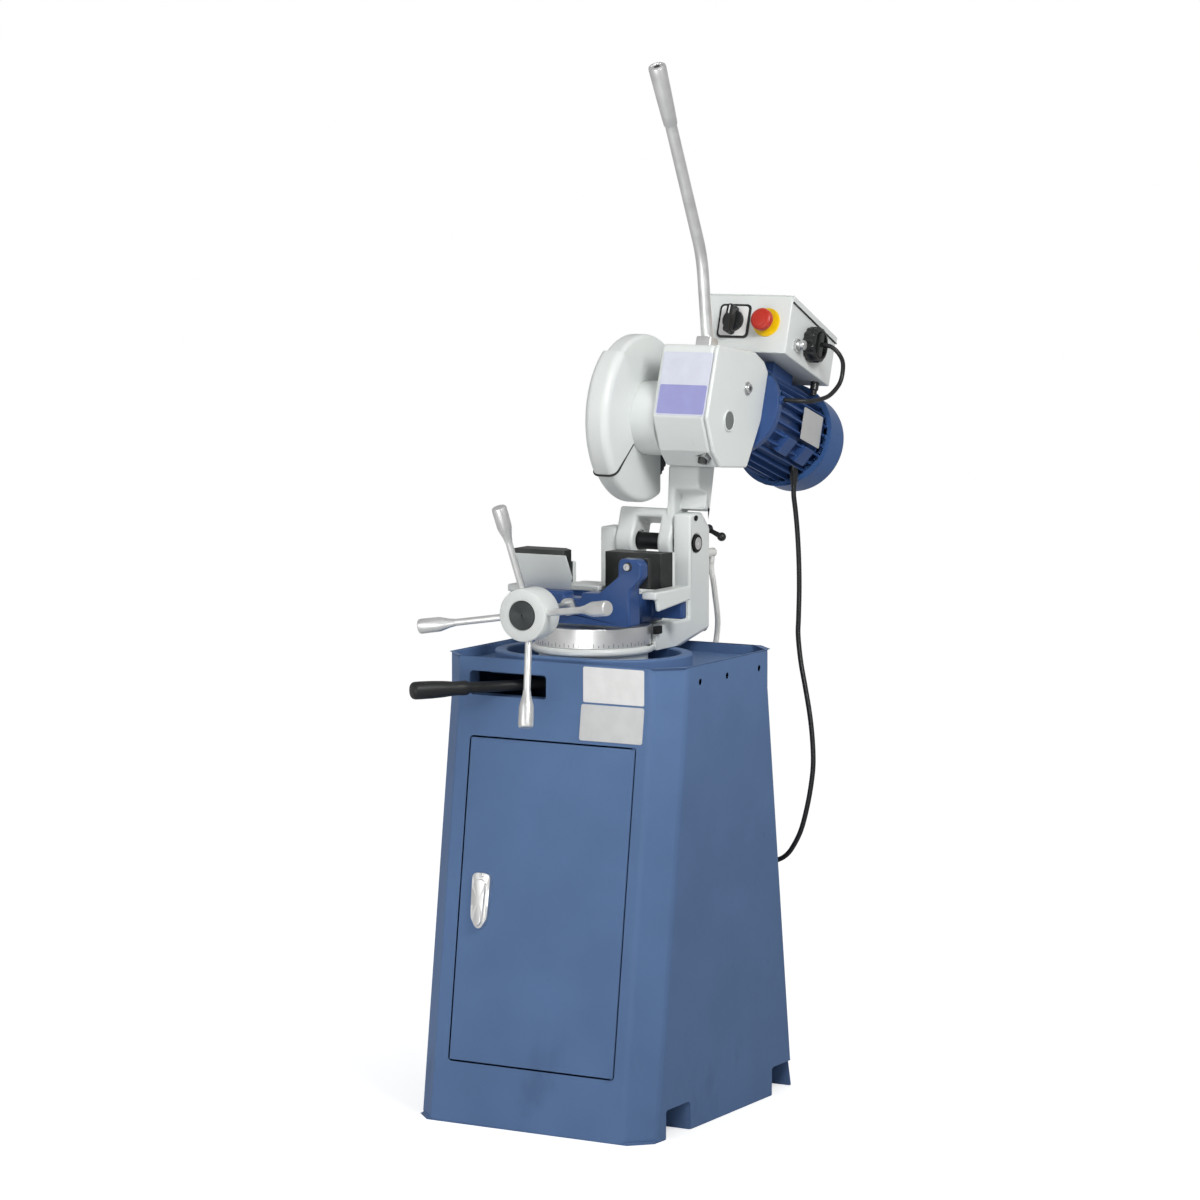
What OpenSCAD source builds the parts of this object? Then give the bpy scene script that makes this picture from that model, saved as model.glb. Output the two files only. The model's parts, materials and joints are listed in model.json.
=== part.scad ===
/* [Stand] */
// Height of the cabinet stand
stand_h = 800; // [788:1:812]
// Width of the stand
stand_w = 470; // [458:1:482]
// Depth of the stand at the floor
base_d = 586; // [574:1:598]
// Depth of the stand at the rim
top_d = 384; // [372:1:396]
// How far the stand sits behind the floor centre
stand_shift = -8; // [-9:0.5:-7]
// Height of the upright band under the rim
band_h = 69; // [63:1:75]
// Size of the flat on each upright corner
corner = 44; // [40:1:48]
// Thickness of the stand sheet
sheet = 2; // [1.5:0.05:2.5]
// Depth of the drip tray below the rim
tray_depth = 18; // [15.5:0.5:20.5]
// Left end of the lever slot
slot_x0 = -170; // [-178:1:-162]
// Right end of the lever slot
slot_x1 = -17; // [-19.5:0.5:-14.5]
// Bottom of the lever slot, below the rim
slot_drop = 67; // [62:1:72]
// Height of the lever slot
slot_h = 42; // [39:1:45]
// Radius of the holes in the right band
band_hole_r = 5.5; // [4.5:0.5:6.5]
// Height of the holes in the right band, below the rim
band_hole_drop = 30; // [28:1:32]
// Width of a fork slot
fork_w = 86; // [79:1:93]
// Height of a fork slot
fork_h = 50; // [46:1:54]
// Front fork slot distance from the front
fork_front_in = 117; // [111:1:123]
// Back fork slot distance from the back
fork_back_in = 81; // [75:1:87]
// Height of the cabinet floor
floor_z = 62; // [57:1:67]
// Width of the foot rails
rail_w = 60; // [55:1:65]
// Thickness of the foot rails
rail_t = 4; // [3:0.05:5]
// Foot rail end distance from the sides
rail_in = 50; // [46:1:54]
// Anchor hole distance from the sides
anchor_side = 75; // [69:1:81]
// Anchor hole distance from half the depth
anchor_in = 31; // [29:1:33]
// Radius of the anchor holes
anchor_r = 7; // [6:0.5:8]
/* [Door] */
// Door distance from the left side
door_left_in = 74; // [68:1:80]
// Door distance from the right side
door_right_in = 72; // [66:1:78]
// Bottom of the door along the slope
door_s0 = 109; // [104:1:114]
// Door distance below the crease
door_top_in = 71; // [65:1:77]
// Gap round the door
door_gap = 3; // [2.25:0.05:3.75]
// Depth of the folded door edge
door_depth = 14; // [12:0.5:16]
// Hinge pin distance from the door edge and face
pin_inset = 4; // [3:0.05:5]
// Radius of the hinge pins
pin_r = 2.5; // [1.88:0.05:3.12]
// Length of pin inside the door
pin_grip = 8; // [7:0.5:9]
// Width of a pin bracket
bracket_w = 18; // [15.5:0.5:20.5]
// Depth of a pin bracket
bracket_d = 10; // [8.5:0.5:11.5]
// Height of a pin bracket
bracket_h = 10; // [8.5:0.5:11.5]
// Latch distance from the left door edge
latch_in = 43; // [40:1:46]
// Latch axis above the door bottom
latch_rise = 306; // [294:1:318]
// Radius of the latch plate top
latch_r = 20; // [17:0.5:23]
// Radius of the latch plate bottom
latch_tail_r = 12; // [10:0.5:14]
// Distance from the axis to the plate bottom centre
latch_drop = 64; // [59:1:69]
// Thickness of the latch plate
latch_t = 7; // [6:0.5:8]
// Thickness of the latch handle
handle_t = 8; // [7:0.5:9]
// Radius of the latch handle top
handle_r = 9; // [7.5:0.5:10.5]
// Radius of the latch handle bottom
handle_tail_r = 7; // [6:0.5:8]
// Length of the latch handle
handle_drop = 58; // [53:1:63]
// Radius of the latch spindle
spindle_r = 5; // [4:0.5:6]
// Thickness of the latch cam
cam_t = 4; // [3:0.05:5]
// Reach of the latch cam
cam_reach = 56; // [52:1:60]
// Width of the latch cam
cam_w = 16; // [13.5:0.5:18.5]
// Width of the strike block
strike_w = 9; // [7.5:0.5:10.5]
// Height of the strike block
strike_h = 40; // [37:1:43]
// Radius of the latch button
button_r = 3.5; // [2.62:0.05:4.38]
// Height of the button above the latch axis
button_up = 15.5; // [13:0.5:18]
// How far the button stands out
button_proud = 3.5; // [2.62:0.05:4.38]
/* [Coolant] */
// Left side of the coolant tank
tank_x0 = -60; // [-65:1:-55]
// Right side of the coolant tank
tank_x1 = 190; // [180:1:200]
// Front of the coolant tank
tank_y0 = -20; // [-23:0.5:-17]
// Back of the coolant tank
tank_y1 = 200; // [190:1:210]
// Height of the coolant tank
tank_h = 150; // [142:1:158]
// Wall of the coolant tank
tank_t = 3; // [2.25:0.05:3.75]
// Pump axis across
pump_x = 0; // [-0.05:0.05:0.05]
// Riser pipe axis across
riser_x = 72; // [66:1:78]
// Riser and pump axis front to back
riser_y = 150; // [142:1:158]
// Radius of the pump motor
pump_r = 46; // [42:1:50]
// Height of the pump motor
pump_h = 110; // [104:1:116]
// Radius of the pump flange
pump_flange_r = 49; // [45:1:53]
// Thickness of the pump flange
pump_flange_t = 10; // [8.5:0.5:11.5]
// Radius of the pump foot in the tank
pump_foot_r = 28; // [26:1:30]
// Depth of the pump foot
pump_foot_h = 120; // [114:1:126]
// Radius of the riser pipe
riser_r = 6; // [5:0.5:7]
// Height of the pump outlet above its flange
outlet_up = 22; // [20:1:24]
// Radius of the hose grommet
grommet_r = 14; // [12:0.5:16]
// Length of the hose grommet
grommet_t = 12; // [10:0.5:14]
// Height of the hose grommet in the back band, below the rim
hose_drop = 36; // [33:1:39]
// Stand cable gland across
gland_x = 132; // [125:1:139]
// Stand cable gland height, below the rim
gland_drop = 408; // [396:1:420]
// Radius of the stand cable gland
gland_r = 10; // [8.5:0.5:11.5]
// Length of the stand cable gland
gland_len = 14; // [12:0.5:16]
/* [Base] */
// Swivel axis behind the floor centre
saw_y = -66; // [-71:1:-61]
// Bottom of the swivel flange, above the rim
base_up = 6; // [5:0.5:7]
// Radius of the pedestal foot
hub_foot_r = 95; // [87:1:103]
// Radius of the pedestal hub
hub_r = 60; // [55:1:65]
// End radius of the tray collar
collar_r = 122; // [116:1:128]
// Half distance between the collar ends
collar_half = 57; // [52:1:62]
// Width of the tray collar
collar_wall = 20; // [17:0.5:23]
// Half width of the plate under the tray
plate_half = 150; // [142:1:158]
// Depth of the plate behind the swivel axis
plate_back = 60; // [55:1:65]
// Depth of the plate before the swivel axis
plate_front = 98; // [90:1:106]
// Thickness of the plate under the tray
plate_t = 12; // [10:0.5:14]
// Radius of the swivel flange
flange_r = 107; // [102:1:112]
// Height of the swivel flange
flange_h = 13; // [11:0.5:15]
// Radius of the graduated ring
ring_r = 101; // [96:1:106]
// Height of the graduated ring
ring_h = 34; // [31:1:37]
// Radius of the lock stud
stud_r = 10; // [8.5:0.5:11.5]
// Corner radius of the lock nut
stud_nut_r = 17; // [14.5:0.5:19.5]
// Height of the lock nut
stud_nut_h = 10; // [8.5:0.5:11.5]
// Height of the lock lever, below the rim
lever_drop = 48; // [44:1:52]
// Angle of the lock lever from straight ahead
lever_angle = 37; // [34:1:40]
// Radius of the lock lever hub
lever_hub_r = 22; // [20:1:24]
// Height of the lock lever hub
lever_hub_h = 24; // [22:1:26]
// Radius of the lock lever rod
lever_rod_r = 9.5; // [8:0.5:11]
// Length of the lock lever
lever_len = 338; // [326:1:350]
// Length of the lock lever grip
lever_grip_len = 104; // [99:1:109]
// Radius of the lock lever grip
lever_grip_r = 15.5; // [13:0.5:18]
/* [Vise] */
// Half width of the vise base
vise_base_half = 80; // [74:1:86]
// Front of the vise base
vise_front = -38; // [-41:1:-35]
// Back of the vise base
vise_back = 40; // [37:1:43]
// Top of the vise bed, above the rim
bed_up = 114; // [108:1:120]
// Thickness of the vise bed
bed_t = 9; // [7.5:0.5:10.5]
// Left side of the blade slot
slot_left = -6; // [-7:0.5:-5]
// Right side of the blade slot
slot_right = 8; // [7:0.5:9]
// Inner side of a work support wing
wing_x0 = 120; // [114:1:126]
// Outer side of a work support wing
wing_x1 = 148; // [141:1:155]
// Front of a wing
wing_y0 = -110; // [-116:1:-104]
// Back of a wing
wing_y1 = 15; // [13:0.5:17]
// Thickness of a wing
wing_t = 13; // [11:0.5:15]
// Top of a wing, above the rim
wing_up = 118; // [112:1:124]
// Depth of the tie under a wing
tie_d = 17; // [14.5:0.5:19.5]
// Drop of the tie under a wing
tie_drop = 44; // [40:1:48]
// Front face of the fixed jaw
jaw_y = -34; // [-37:1:-31]
// Inner end of the right fixed jaw
jaw_x0 = 5; // [4:0.5:6]
// Outer end of the fixed jaws
jaw_x1 = 116; // [110:1:122]
// Inner end of the left fixed jaw
left_jaw_x = 84; // [77:1:91]
// Top of the fixed jaws, above the rim
jaw_up = 176; // [167:1:185]
// Top of the left fixed jaw, above the rim
left_jaw_up = 150; // [142:1:158]
// Depth of the fixed jaws
jaw_d = 42; // [39:1:45]
// Thickness of a jaw plate
jaw_plate_t = 8; // [7:0.5:9]
// Thickness of the wall behind the fixed jaws
backing_t = 12; // [10:0.5:14]
// Top of the wall behind the fixed jaws, above the rim
backing_up = 175; // [166:1:184]
// Opening of the vise at rest
opening_d = 72; // [66:1:78]
// Left end of the moving jaw
mover_x0 = -110; // [-116:1:-104]
// Right end of the moving jaw
mover_x1 = -8; // [-9:0.5:-7]
// Corner cut off the moving jaw for the turned blade
mitre_relief = 22; // [20:1:24]
// Top of the moving jaw, above the rim
mover_up = 186; // [177:1:195]
// Depth of the moving jaw at the top
mover_d = 47; // [43:1:51]
// Depth of the moving jaw at the bottom
mover_foot = 12; // [10:0.5:14]
// Left end of the carriage
bridge_x0 = -104; // [-109:1:-99]
// Right end of the carriage
bridge_x1 = 118; // [112:1:124]
// Front of the carriage
bridge_y0 = -148; // [-155:1:-141]
// Depth of the carriage
bridge_d = 36; // [33:1:39]
// Underside of the carriage, above the rim
bridge_low_up = 60; // [55:1:65]
// Room left of the blade slot in the carriage
groove_left = 6; // [5:0.5:7]
// Room right of the blade slot in the carriage
groove_right = 14; // [12:0.5:16]
// Top of the carriage, above the rim
bridge_up = 115; // [109:1:121]
// Left side of the carriage arm head
arm_x0 = 90; // [83:1:97]
// Right side of the carriage arm head
arm_x1 = 136; // [129:1:143]
// Depth of the carriage arm head
arm_d = 26; // [24:1:28]
// Top of the carriage arm head, above the rim
arm_up = 176; // [167:1:185]
// Left end of the carriage arm foot
arm_foot_x = 56; // [52:1:60]
// Bevel of the carriage arm head
arm_bevel = 9; // [7.5:0.5:10.5]
// Radius of the arm bolt head
arm_bolt_r = 6; // [5:0.5:7]
// Arm bolt across
arm_bolt_x = 110; // [104:1:116]
// Arm bolt height, above the rim
arm_bolt_up = 163; // [155:1:171]
// Height of the arm bolt head
arm_bolt_len = 5; // [4:0.5:6]
// Thickness of the splash plate
splash_t = 2; // [1.5:0.05:2.5]
// Left edge of the splash plate
splash_x0 = -106; // [-111:1:-101]
// Right edge of the splash plate
splash_x1 = -4; // [-5:0.05:-3]
// Width of the corner cut off the splash plate
nick_w = 13; // [11:0.5:15]
// Height of the corner cut off the splash plate
nick_h = 26; // [24:1:28]
// Height of the vise screw, above the rim
screw_up = 90; // [83:1:97]
// Radius of the vise screw
screw_r = 9; // [7.5:0.5:10.5]
// Back end of the vise screw
screw_end = 20; // [17:0.5:23]
// Radius of the vise nut
nut_r = 14; // [12:0.5:16]
// Length of the vise nut
nut_len = 30; // [28:1:32]
// Front face of the wheel hub
wheel_y = -308; // [-320:1:-296]
// Thickness of the wheel hub
wheel_t = 51; // [47:1:55]
// Radius of the wheel hub
wheel_r = 45; // [41:1:49]
// Radius of the wheel cap
wheel_cap_r = 25; // [23:1:27]
// Height of the wheel cap
wheel_cap_t = 3; // [2.25:0.05:3.75]
// Radius of a wheel spoke
spoke_r = 6; // [5:0.5:7]
// Turn of the spokes from upright
spoke_turn = 8; // [7:0.5:9]
// Forward rake of the spokes
spoke_rake = 17; // [14.5:0.5:19.5]
// Distance from the wheel axis to a spoke tip
spoke_tip = 196; // [186:1:206]
// Radius of a spoke grip
knob_r = 13; // [11:0.5:15]
// Length of a spoke grip
knob_len = 64; // [59:1:69]
/* [Column] */
// Head hinge axis front to back
hinge_y = 124; // [118:1:130]
// Head hinge axis height, above the rim
hinge_up = 181; // [172:1:190]
// Radius of the hinge shaft
shaft_r = 15; // [13:0.5:17]
// Left side of the column foot
foot_x0 = -90; // [-97:1:-83]
// Outer face of the left upright
col_x0 = -82; // [-89:1:-75]
// Inner face of the left upright
col_x1 = -50; // [-54:1:-46]
// Inner face of the right upright
col_x2 = 67; // [62:1:72]
// Outer face of the right upright
col_x3 = 100; // [92:1:108]
// Front of the column
col_y0 = 100; // [92:1:108]
// Back of the column
col_y1 = 172; // [163:1:181]
// Front of the column foot
foot_y0 = -20; // [-23:0.5:-17]
// Top of the column foot, above the rim
foot_up = 50; // [46:1:54]
// Top of the web between the uprights, above the rim
web_up = 125; // [119:1:131]
// Top of the left upright, above the rim
left_up = 205; // [195:1:215]
// Top of the right upright, above the rim
right_up = 234; // [222:1:246]
// Bevel at the back of the uprights
col_bevel = 26; // [24:1:28]
// Rise of the foot underside at the back
foot_rise = 20; // [17:0.5:23]
// Where the foot underside starts to rise
foot_flat_y = 72; // [66:1:78]
// Radius of a shaft cap
cap_r = 15.5; // [13:0.5:18]
// Thickness of a shaft cap
cap_t = 3; // [2.25:0.05:3.75]
// Radius of the small side bolt
side_bolt_r = 5; // [4:0.5:6]
// Radius of the back bolts
back_bolt_r = 9; // [7.5:0.5:10.5]
// Height of the back bolts
back_bolt_len = 8; // [7:0.5:9]
// Height of the clamp lever, above the rim
clamp_up = 200; // [190:1:210]
// Clamp lever across
clamp_x = 84; // [77:1:91]
// Radius of the clamp stud
clamp_r = 6; // [5:0.5:7]
// Length of the clamp stud
clamp_len = 22; // [20:1:24]
// Length of the clamp bar
clamp_bar = 62; // [57:1:67]
// Radius of the clamp bar
clamp_bar_r = 5; // [4:0.5:6]
// Radius of the clamp knob
clamp_ball_r = 8; // [7:0.5:9]
// Height of the hose elbow, above the rim
elbow_up = 158; // [150:1:166]
/* [Head] */
// Arbor axis front to back, head raised
arbor_y = 86; // [79:1:93]
// Arbor axis height, head raised, above the rim
arbor_up = 402; // [390:1:414]
// Backward tilt of the raised head
head_tilt = 18; // [15.5:0.5:20.5]
// Left side of the gearbox
box_x0 = 72; // [66:1:78]
// Right side of the gearbox
box_x1 = 183; // [174:1:192]
// Thickness of the gearbox cover
cover_t = 8; // [7:0.5:9]
// Wall of the gearbox
box_wall = 8; // [7:0.5:9]
// Radius of the collar behind the guards
nose_r = 65; // [60:1:70]
// Left end of the collar
nose_x = 13; // [11:0.5:15]
// Bore of the collar
nose_bore = 46; // [42:1:50]
// Radius of the hinge ears
ear_r = 32; // [29:1:35]
// Left side of the left ear
ear_x0 = -48; // [-52:1:-44]
// Right side of the left ear
ear_x1 = -13; // [-15:0.5:-11]
// Left side of the right ear
ear_x2 = 37; // [34:1:40]
// Right side of the right ear
ear_x3 = 63; // [58:1:68]
// Left side of the neck
neck_x0 = 50; // [46:1:54]
// Right side of the neck
neck_x1 = 112; // [106:1:118]
// Radius of the oil level plug
plug_r = 19; // [16:0.5:22]
// Height of the oil level plug
plug_t = 3; // [2.25:0.05:3.75]
// Radius of the filler bolt
filler_r = 8; // [7:0.5:9]
// Radius of the drain plug
drain_r = 8; // [7:0.5:9]
// Thickness of the bare plates
label_t = 0.8; // [0.6:0.05:1]
// Radius of the arbor
arbor_r = 18; // [15.5:0.5:20.5]
// Radius of the saw blade
blade_r = 137.5; // [130.5:1:144.5]
// Thickness of the saw blade
blade_t = 2.5; // [1.88:0.05:3.12]
// Teeth of the saw blade
blade_teeth = 90; // [72:1:108]
// Height of a saw tooth
tooth_h = 3; // [2.25:0.05:3.75]
// Radius of the blade flanges
clamp_flange_r = 45; // [41:1:49]
// Thickness of the blade flanges
flange_t = 8; // [7:0.5:9]
// Corner radius of the arbor bolt
arbor_nut_r = 14; // [12:0.5:16]
// Height of the arbor bolt head
arbor_nut_h = 5; // [4:0.5:6]
// Radius of the worm wheel
wheel_gear_r = 39; // [36:1:42]
// Width of the worm wheel
wheel_gear_w = 22; // [20:1:24]
// Teeth of the worm wheel
wheel_teeth = 30; // [24:1:36]
// Height of a worm wheel tooth
gear_tooth_h = 3; // [2.25:0.05:3.75]
// Radius of the worm
worm_r = 13; // [11:0.5:15]
// Length of the worm
worm_len = 56; // [52:1:60]
// Width of the arbor bearings
bearing_t = 14; // [12:0.5:16]
/* [Motor] */
// Motor axis across
motor_x = 127; // [121:1:133]
// Motor axis above the arbor axis
motor_v = 54; // [50:1:58]
// Front of the motor in the head
motor_y0 = 116; // [110:1:122]
// Back of the finned motor body
motor_y1 = 326; // [314:1:338]
// Back of the fan cover
motor_y2 = 386; // [374:1:398]
// Radius of the motor body without fins
motor_r = 74; // [68:1:80]
// Radius at the fin tips
fin_tip_r = 86; // [79:1:93]
// Thickness of a fin
fin_t = 3; // [2.25:0.05:3.75]
// Number of fins
fin_count = 28; // [22:1:34]
// Radius of the fan cover
cover_r = 90; // [83:1:97]
// Wall of the fan cover
cover_wall = 3; // [2.25:0.05:3.75]
// Radius of the rotor
rotor_r = 45; // [41:1:49]
// Radius of the rotor shaft
rotor_shaft_r = 9; // [7.5:0.5:10.5]
// Radius of the fan
fan_r = 70; // [64:1:76]
// Width of the fan
fan_t = 14; // [12:0.5:16]
// Bore of the motor body
stator_bore = 47; // [43:1:51]
// Size of a motor pad
motor_pad = 34; // [31:1:37]
// Width of the motor plate
motor_plate_w = 60; // [55:1:65]
// Height of the motor plate
motor_plate_h = 44; // [40:1:48]
/* [Control box] */
// Left side of the control box
ctrl_x0 = 41; // [38:1:44]
// Right side of the control box
ctrl_x1 = 213; // [202:1:224]
// Front of the control box in the head
ctrl_y0 = 112; // [106:1:118]
// Depth of the control box
ctrl_d = 186; // [177:1:195]
// Bottom of the control box front
ctrl_v0 = 153; // [145:1:161]
// Top of the control box front
ctrl_v1 = 257; // [245:1:269]
// Fall of the lid to the back
ctrl_top_drop = 25; // [23:1:27]
// Fall of the bottom to the back
ctrl_low_drop = 11; // [9.5:0.5:12.5]
// Sheet of the control box
ctrl_t = 2; // [1.5:0.05:2.5]
// Half size of the post under the box
ctrl_post = 40; // [37:1:43]
// Rotary switch across
switch_x = 103; // [98:1:108]
// Rotary switch height in the head
switch_v = 209; // [199:1:219]
// Size of the switch plate
switch_s = 62; // [57:1:67]
// Thickness of the switch plate
switch_t = 3; // [2.25:0.05:3.75]
// Radius of the switch knob base
knob_base_r = 20; // [17:0.5:23]
// Width of the switch knob bar
knob_bar_w = 14; // [12:0.5:16]
// Length of the switch knob bar
knob_bar_l = 54; // [50:1:58]
// Height of the switch knob
knob_h = 24; // [22:1:26]
// Emergency stop across
stop_x = 168; // [160:1:176]
// Emergency stop height in the head
stop_v = 208; // [198:1:218]
// Radius of the yellow disc
stop_disc_r = 26; // [24:1:28]
// Thickness of the yellow disc
stop_disc_t = 3; // [2.25:0.05:3.75]
// Radius of the stop stem
stop_stem_r = 12; // [10:0.5:14]
// Radius of the stop head
stop_head_r = 20; // [17:0.5:23]
// Thickness of the stop head
stop_head_t = 14; // [12:0.5:16]
// Gap between disc and stop head
stop_gap = 12; // [10:0.5:14]
// Round plug in the head front to back
plug_y = 200; // [190:1:210]
// Round plug height in the head
plug_v = 193; // [183:1:203]
// Radius of the round plug
round_r = 32; // [29:1:35]
// Thickness of the round plug
round_t = 24; // [22:1:26]
// Nickel gland in the head front to back
fit_y = 148; // [141:1:155]
// Nickel gland height in the head
fit_v = 178; // [169:1:187]
// Radius of the nickel gland
fit_r = 9; // [7.5:0.5:10.5]
// Length of the nickel gland
fit_t = 20; // [17:0.5:23]
/* [Hand lever] */
// Hand lever base across
hand_x = 127; // [121:1:133]
// Hand lever base in the head front to back
hand_y = -18; // [-20.5:0.5:-15.5]
// Hand lever base height in the head
hand_v = 116; // [110:1:122]
// Radius of the lever tube
tube_r = 10.3; // [8.8:0.5:11.8]
// Length of the lower lever tube
stub_len = 148; // [141:1:155]
// Forward lean of the lower tube in the head
stub_lean = 26; // [24:1:28]
// Length of the upper lever tube
upper_len = 365; // [353:1:377]
// Forward lean of the upper tube in the head
upper_lean = 44.4; // [40.4:1:48.4]
// Radius of the hand grip
hand_grip_r = 15.5; // [13:0.5:18]
// Length of the hand grip
hand_grip_len = 112; // [106:1:118]
// Size of the square lever nut
hand_nut = 30; // [28:1:32]
// Height of the square lever nut
hand_nut_h = 22; // [20:1:24]
/* [Guards] */
// Outer radius of the front guard
shell_r = 152; // [144:1:160]
// Left side of the front guard
shell_x0 = -22; // [-24:1:-20]
// Right side of the front guard
shell_x1 = 25; // [23:1:27]
// Sheet of the guards
guard_t = 2.2; // [1.65:0.05:2.75]
// Gap between nested guards
guard_gap = 0.8; // [0.6:0.05:1]
// Rounding of the front guard rim
guard_round = 14; // [12:0.5:16]
// Upper end of the front guard, down from straight ahead
shell_a0 = -53; // [-57:1:-49]
// Lower end of the front guard
shell_a1 = 38; // [35:1:41]
// Upper end of the lower guard
lower_a0 = 32; // [29:1:35]
// Lower end of the lower guard
lower_a1 = 108; // [103:1:113]
// Back end of the rear guard
dome_a0 = -196; // [-206:1:-186]
// Front end of the rear guard
dome_a1 = -48; // [-52:1:-44]
// Left side of the rear guard
dome_left = -16; // [-18.5:0.5:-13.5]
/* [Hidden] */
$fn = 64;
over = 1;
fit = 0.05;
ease = 0.3;
clear = 0.5;
half_w = stand_w / 2;
front_top = stand_shift - top_d / 2;
back_top = stand_shift + top_d / 2;
front_base = stand_shift - base_d / 2;
back_base = stand_shift + base_d / 2;
band_z = stand_h - band_h;
slope = atan((front_top - front_base) / band_z);
flat_share = 2 - sqrt(2);
reach = 2 * stand_h;
crease = band_z / cos(slope);
slot_z0 = stand_h - slot_drop;
band_hole_z = stand_h - band_hole_drop;
fork_front_y = front_base + fork_front_in;
fork_back_y = back_base - fork_back_in;
rail_half = half_w - rail_in;
anchor_x = half_w - anchor_side;
anchor_y = base_d / 2 - anchor_in;
door_x0 = -half_w + door_left_in;
door_x1 = half_w - door_right_in;
door_s1 = crease - door_top_in;
latch_x = door_x0 + latch_in;
latch_s = door_s0 + latch_rise;
hose_z = stand_h - hose_drop;
gland_z = stand_h - gland_drop;
base_z = stand_h + base_up;
lever_z = stand_h - lever_drop;
bed_z = stand_h + bed_up;
wing_top = stand_h + wing_up;
jaw_top = stand_h + jaw_up;
left_jaw_top = stand_h + left_jaw_up;
backing_top = stand_h + backing_up;
mover_top = stand_h + mover_up;
bridge_z0 = stand_h + bridge_low_up;
bridge_z1 = stand_h + bridge_up;
arm_top = stand_h + arm_up;
arm_bolt_z = stand_h + arm_bolt_up;
screw_z = stand_h + screw_up;
hinge_z = stand_h + hinge_up;
foot_top = stand_h + foot_up;
web_top = stand_h + web_up;
left_top = stand_h + left_up;
right_top = stand_h + right_up;
clamp_z = stand_h + clamp_up;
elbow_z = stand_h + elbow_up;
arbor_z = stand_h + arbor_up;
tray_z = stand_h - tray_depth;
band_hole_y0 = -109;
band_hole_y1 = -12;
band_hole_y2 = 106;
pin_x = door_x1 - pin_inset;
cam_y = door_depth + sheet;
barrel_r = spindle_r + 3 * sheet;
tank_top = floor_z + sheet + tank_h;
outlet_z = tank_top + tank_t + pump_flange_t + outlet_up;
grommet_neck = grommet_r - 2 * sheet;
ring_z0 = base_z + flange_h + ease;
vise_z = ring_z0 + ring_h;
lever_low = lever_z - lever_hub_h / 2;
jaw_back = jaw_y + jaw_d;
mover_face = jaw_y - opening_d;
bridge_y1 = bridge_y0 + bridge_d;
head_y1 = mover_face - jaw_plate_t;
head_y0 = head_y1 - arm_d;
mover_lip = 8;
blade_groove = 10;
arm_lift = 10;
arm_flare = 20;
arm_low = bridge_z1 + arm_lift;
arm_mid = arm_low + arm_flare;
gusset_t = 8;
gusset_front = 21;
gusset_back = 11;
hub_mid = wheel_y + wheel_t / 2;
spoke_root = wheel_r / 2;
knob_bury = 10;
screw_ring = 6;
ring_len = 8;
socket_share = 0.5;
hinge_dy = hinge_y - arbor_y;
hinge_dz = hinge_z - arbor_z;
hinge_ly = hinge_dy * cos(head_tilt) - hinge_dz * sin(head_tilt);
hinge_lz = hinge_dy * sin(head_tilt) + hinge_dz * cos(head_tilt);
ear_half = 30;
ear_roof = 38;
ear_top = 55;
neck_low = 86;
neck_low_front = 44;
neck_low_back = 8;
heel_front = 12;
heel_low = 30;
heel_gap = 60;
neck_top_front = 76;
neck_top_back = -2;
gear_size = 100;
gear_round = 9;
gear_outline_shares = [[-0.76, 1.15], [-0.05, 1.27], [0.62, 1.40], [0.99, 1.33], [1.26, 1.14],
    [1.36, 0.90], [0.93, -0.61], [0.0, -0.84], [-0.34, -0.65], [-0.76, -0.15]];
gear_front_share = -0.76;
plate_top_share = 1.06;
plate_low_share = -0.08;
plate_edge = 7;
gear_front = gear_size * gear_front_share;
gear_bore = 48;
worm_clear = 3;
worm_nose = 16;
tunnel_r = worm_r + worm_clear;
tunnel_end = worm_len / 2 + worm_nose;
drain_x = 152;
drain_y = -14;
drain_top = 66;
drain_low = 82;
filler_y = 49;
filler_v = 71;
filler_t = 7;
bearing_inset = 17;
bearing_x0 = nose_x + bearing_inset;
bearing_x1 = box_x0 - bearing_t;
rotor_front = 40;
rotor_back = 20;
fan_gap = 20;
shaft_tip = 4;
rotor_y0 = motor_y0 + rotor_front;
rotor_y1 = motor_y1 - rotor_back;
fan_y = motor_y1 + fan_gap;
shaft_end = fan_y + fan_t + shaft_tip;
front_shield = 16;
back_shield = 12;
pad_inset = 60;
pad_angle = 34;
pad_y0 = motor_y0 + pad_inset;
pad_gap = 70;
pad_t = 6;
motor_plate_inset = 120;
nameplate_y = motor_y0 + motor_plate_inset;
side_gland_y = 128;
side_gland_v = 18;
side_gland_r = 7;
side_gland_x = 90;
grille_r = 5;
grille_ring = 45;
grille_count = 12;
post_inset = 50;
post_y0 = ctrl_y0 + post_inset;
post_y1 = post_y0 + 2 * ctrl_post;
ctrl_y1 = ctrl_y0 + ctrl_d;
lid_lip = 10;
knob_base_h = 8;
under_x = 195;
under_inset = 22;
under_y = ctrl_y1 - under_inset;
under_r = 8;
under_len = 34;
fit_hex_r = 12;
fit_hex_t = 6;
round_rib = 3;
round_ribs = 14;
motor_gland_x = 169;
motor_gland_y = 362;
motor_gland_root = 310;
motor_gland_mouth = 266;
motor_gland_top = stand_h + motor_gland_root;
motor_gland_low = stand_h + motor_gland_mouth;
motor_gland_r = 8;
stub_v = hand_v + hand_nut_h;
grip_lip = 6;
lower_back = 47;
shell_in = shell_r - guard_t;
lower_r = shell_in - guard_gap;
lower_in = lower_r - guard_t;
dome_r = lower_in - guard_gap;
lower_x0 = shell_x0 + guard_t + guard_gap;
lower_x1 = shell_x1 - guard_t - guard_gap;
dome_x1 = lower_x1 - guard_t - guard_gap;
sector_steps = 12;
tooth_lead_share = 0.3;
gear_lead_share = 0.5;
flare_share = 0.4;
lower_round = guard_round - guard_t - guard_gap;
dome_round = lower_round - guard_t - guard_gap;
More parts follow.
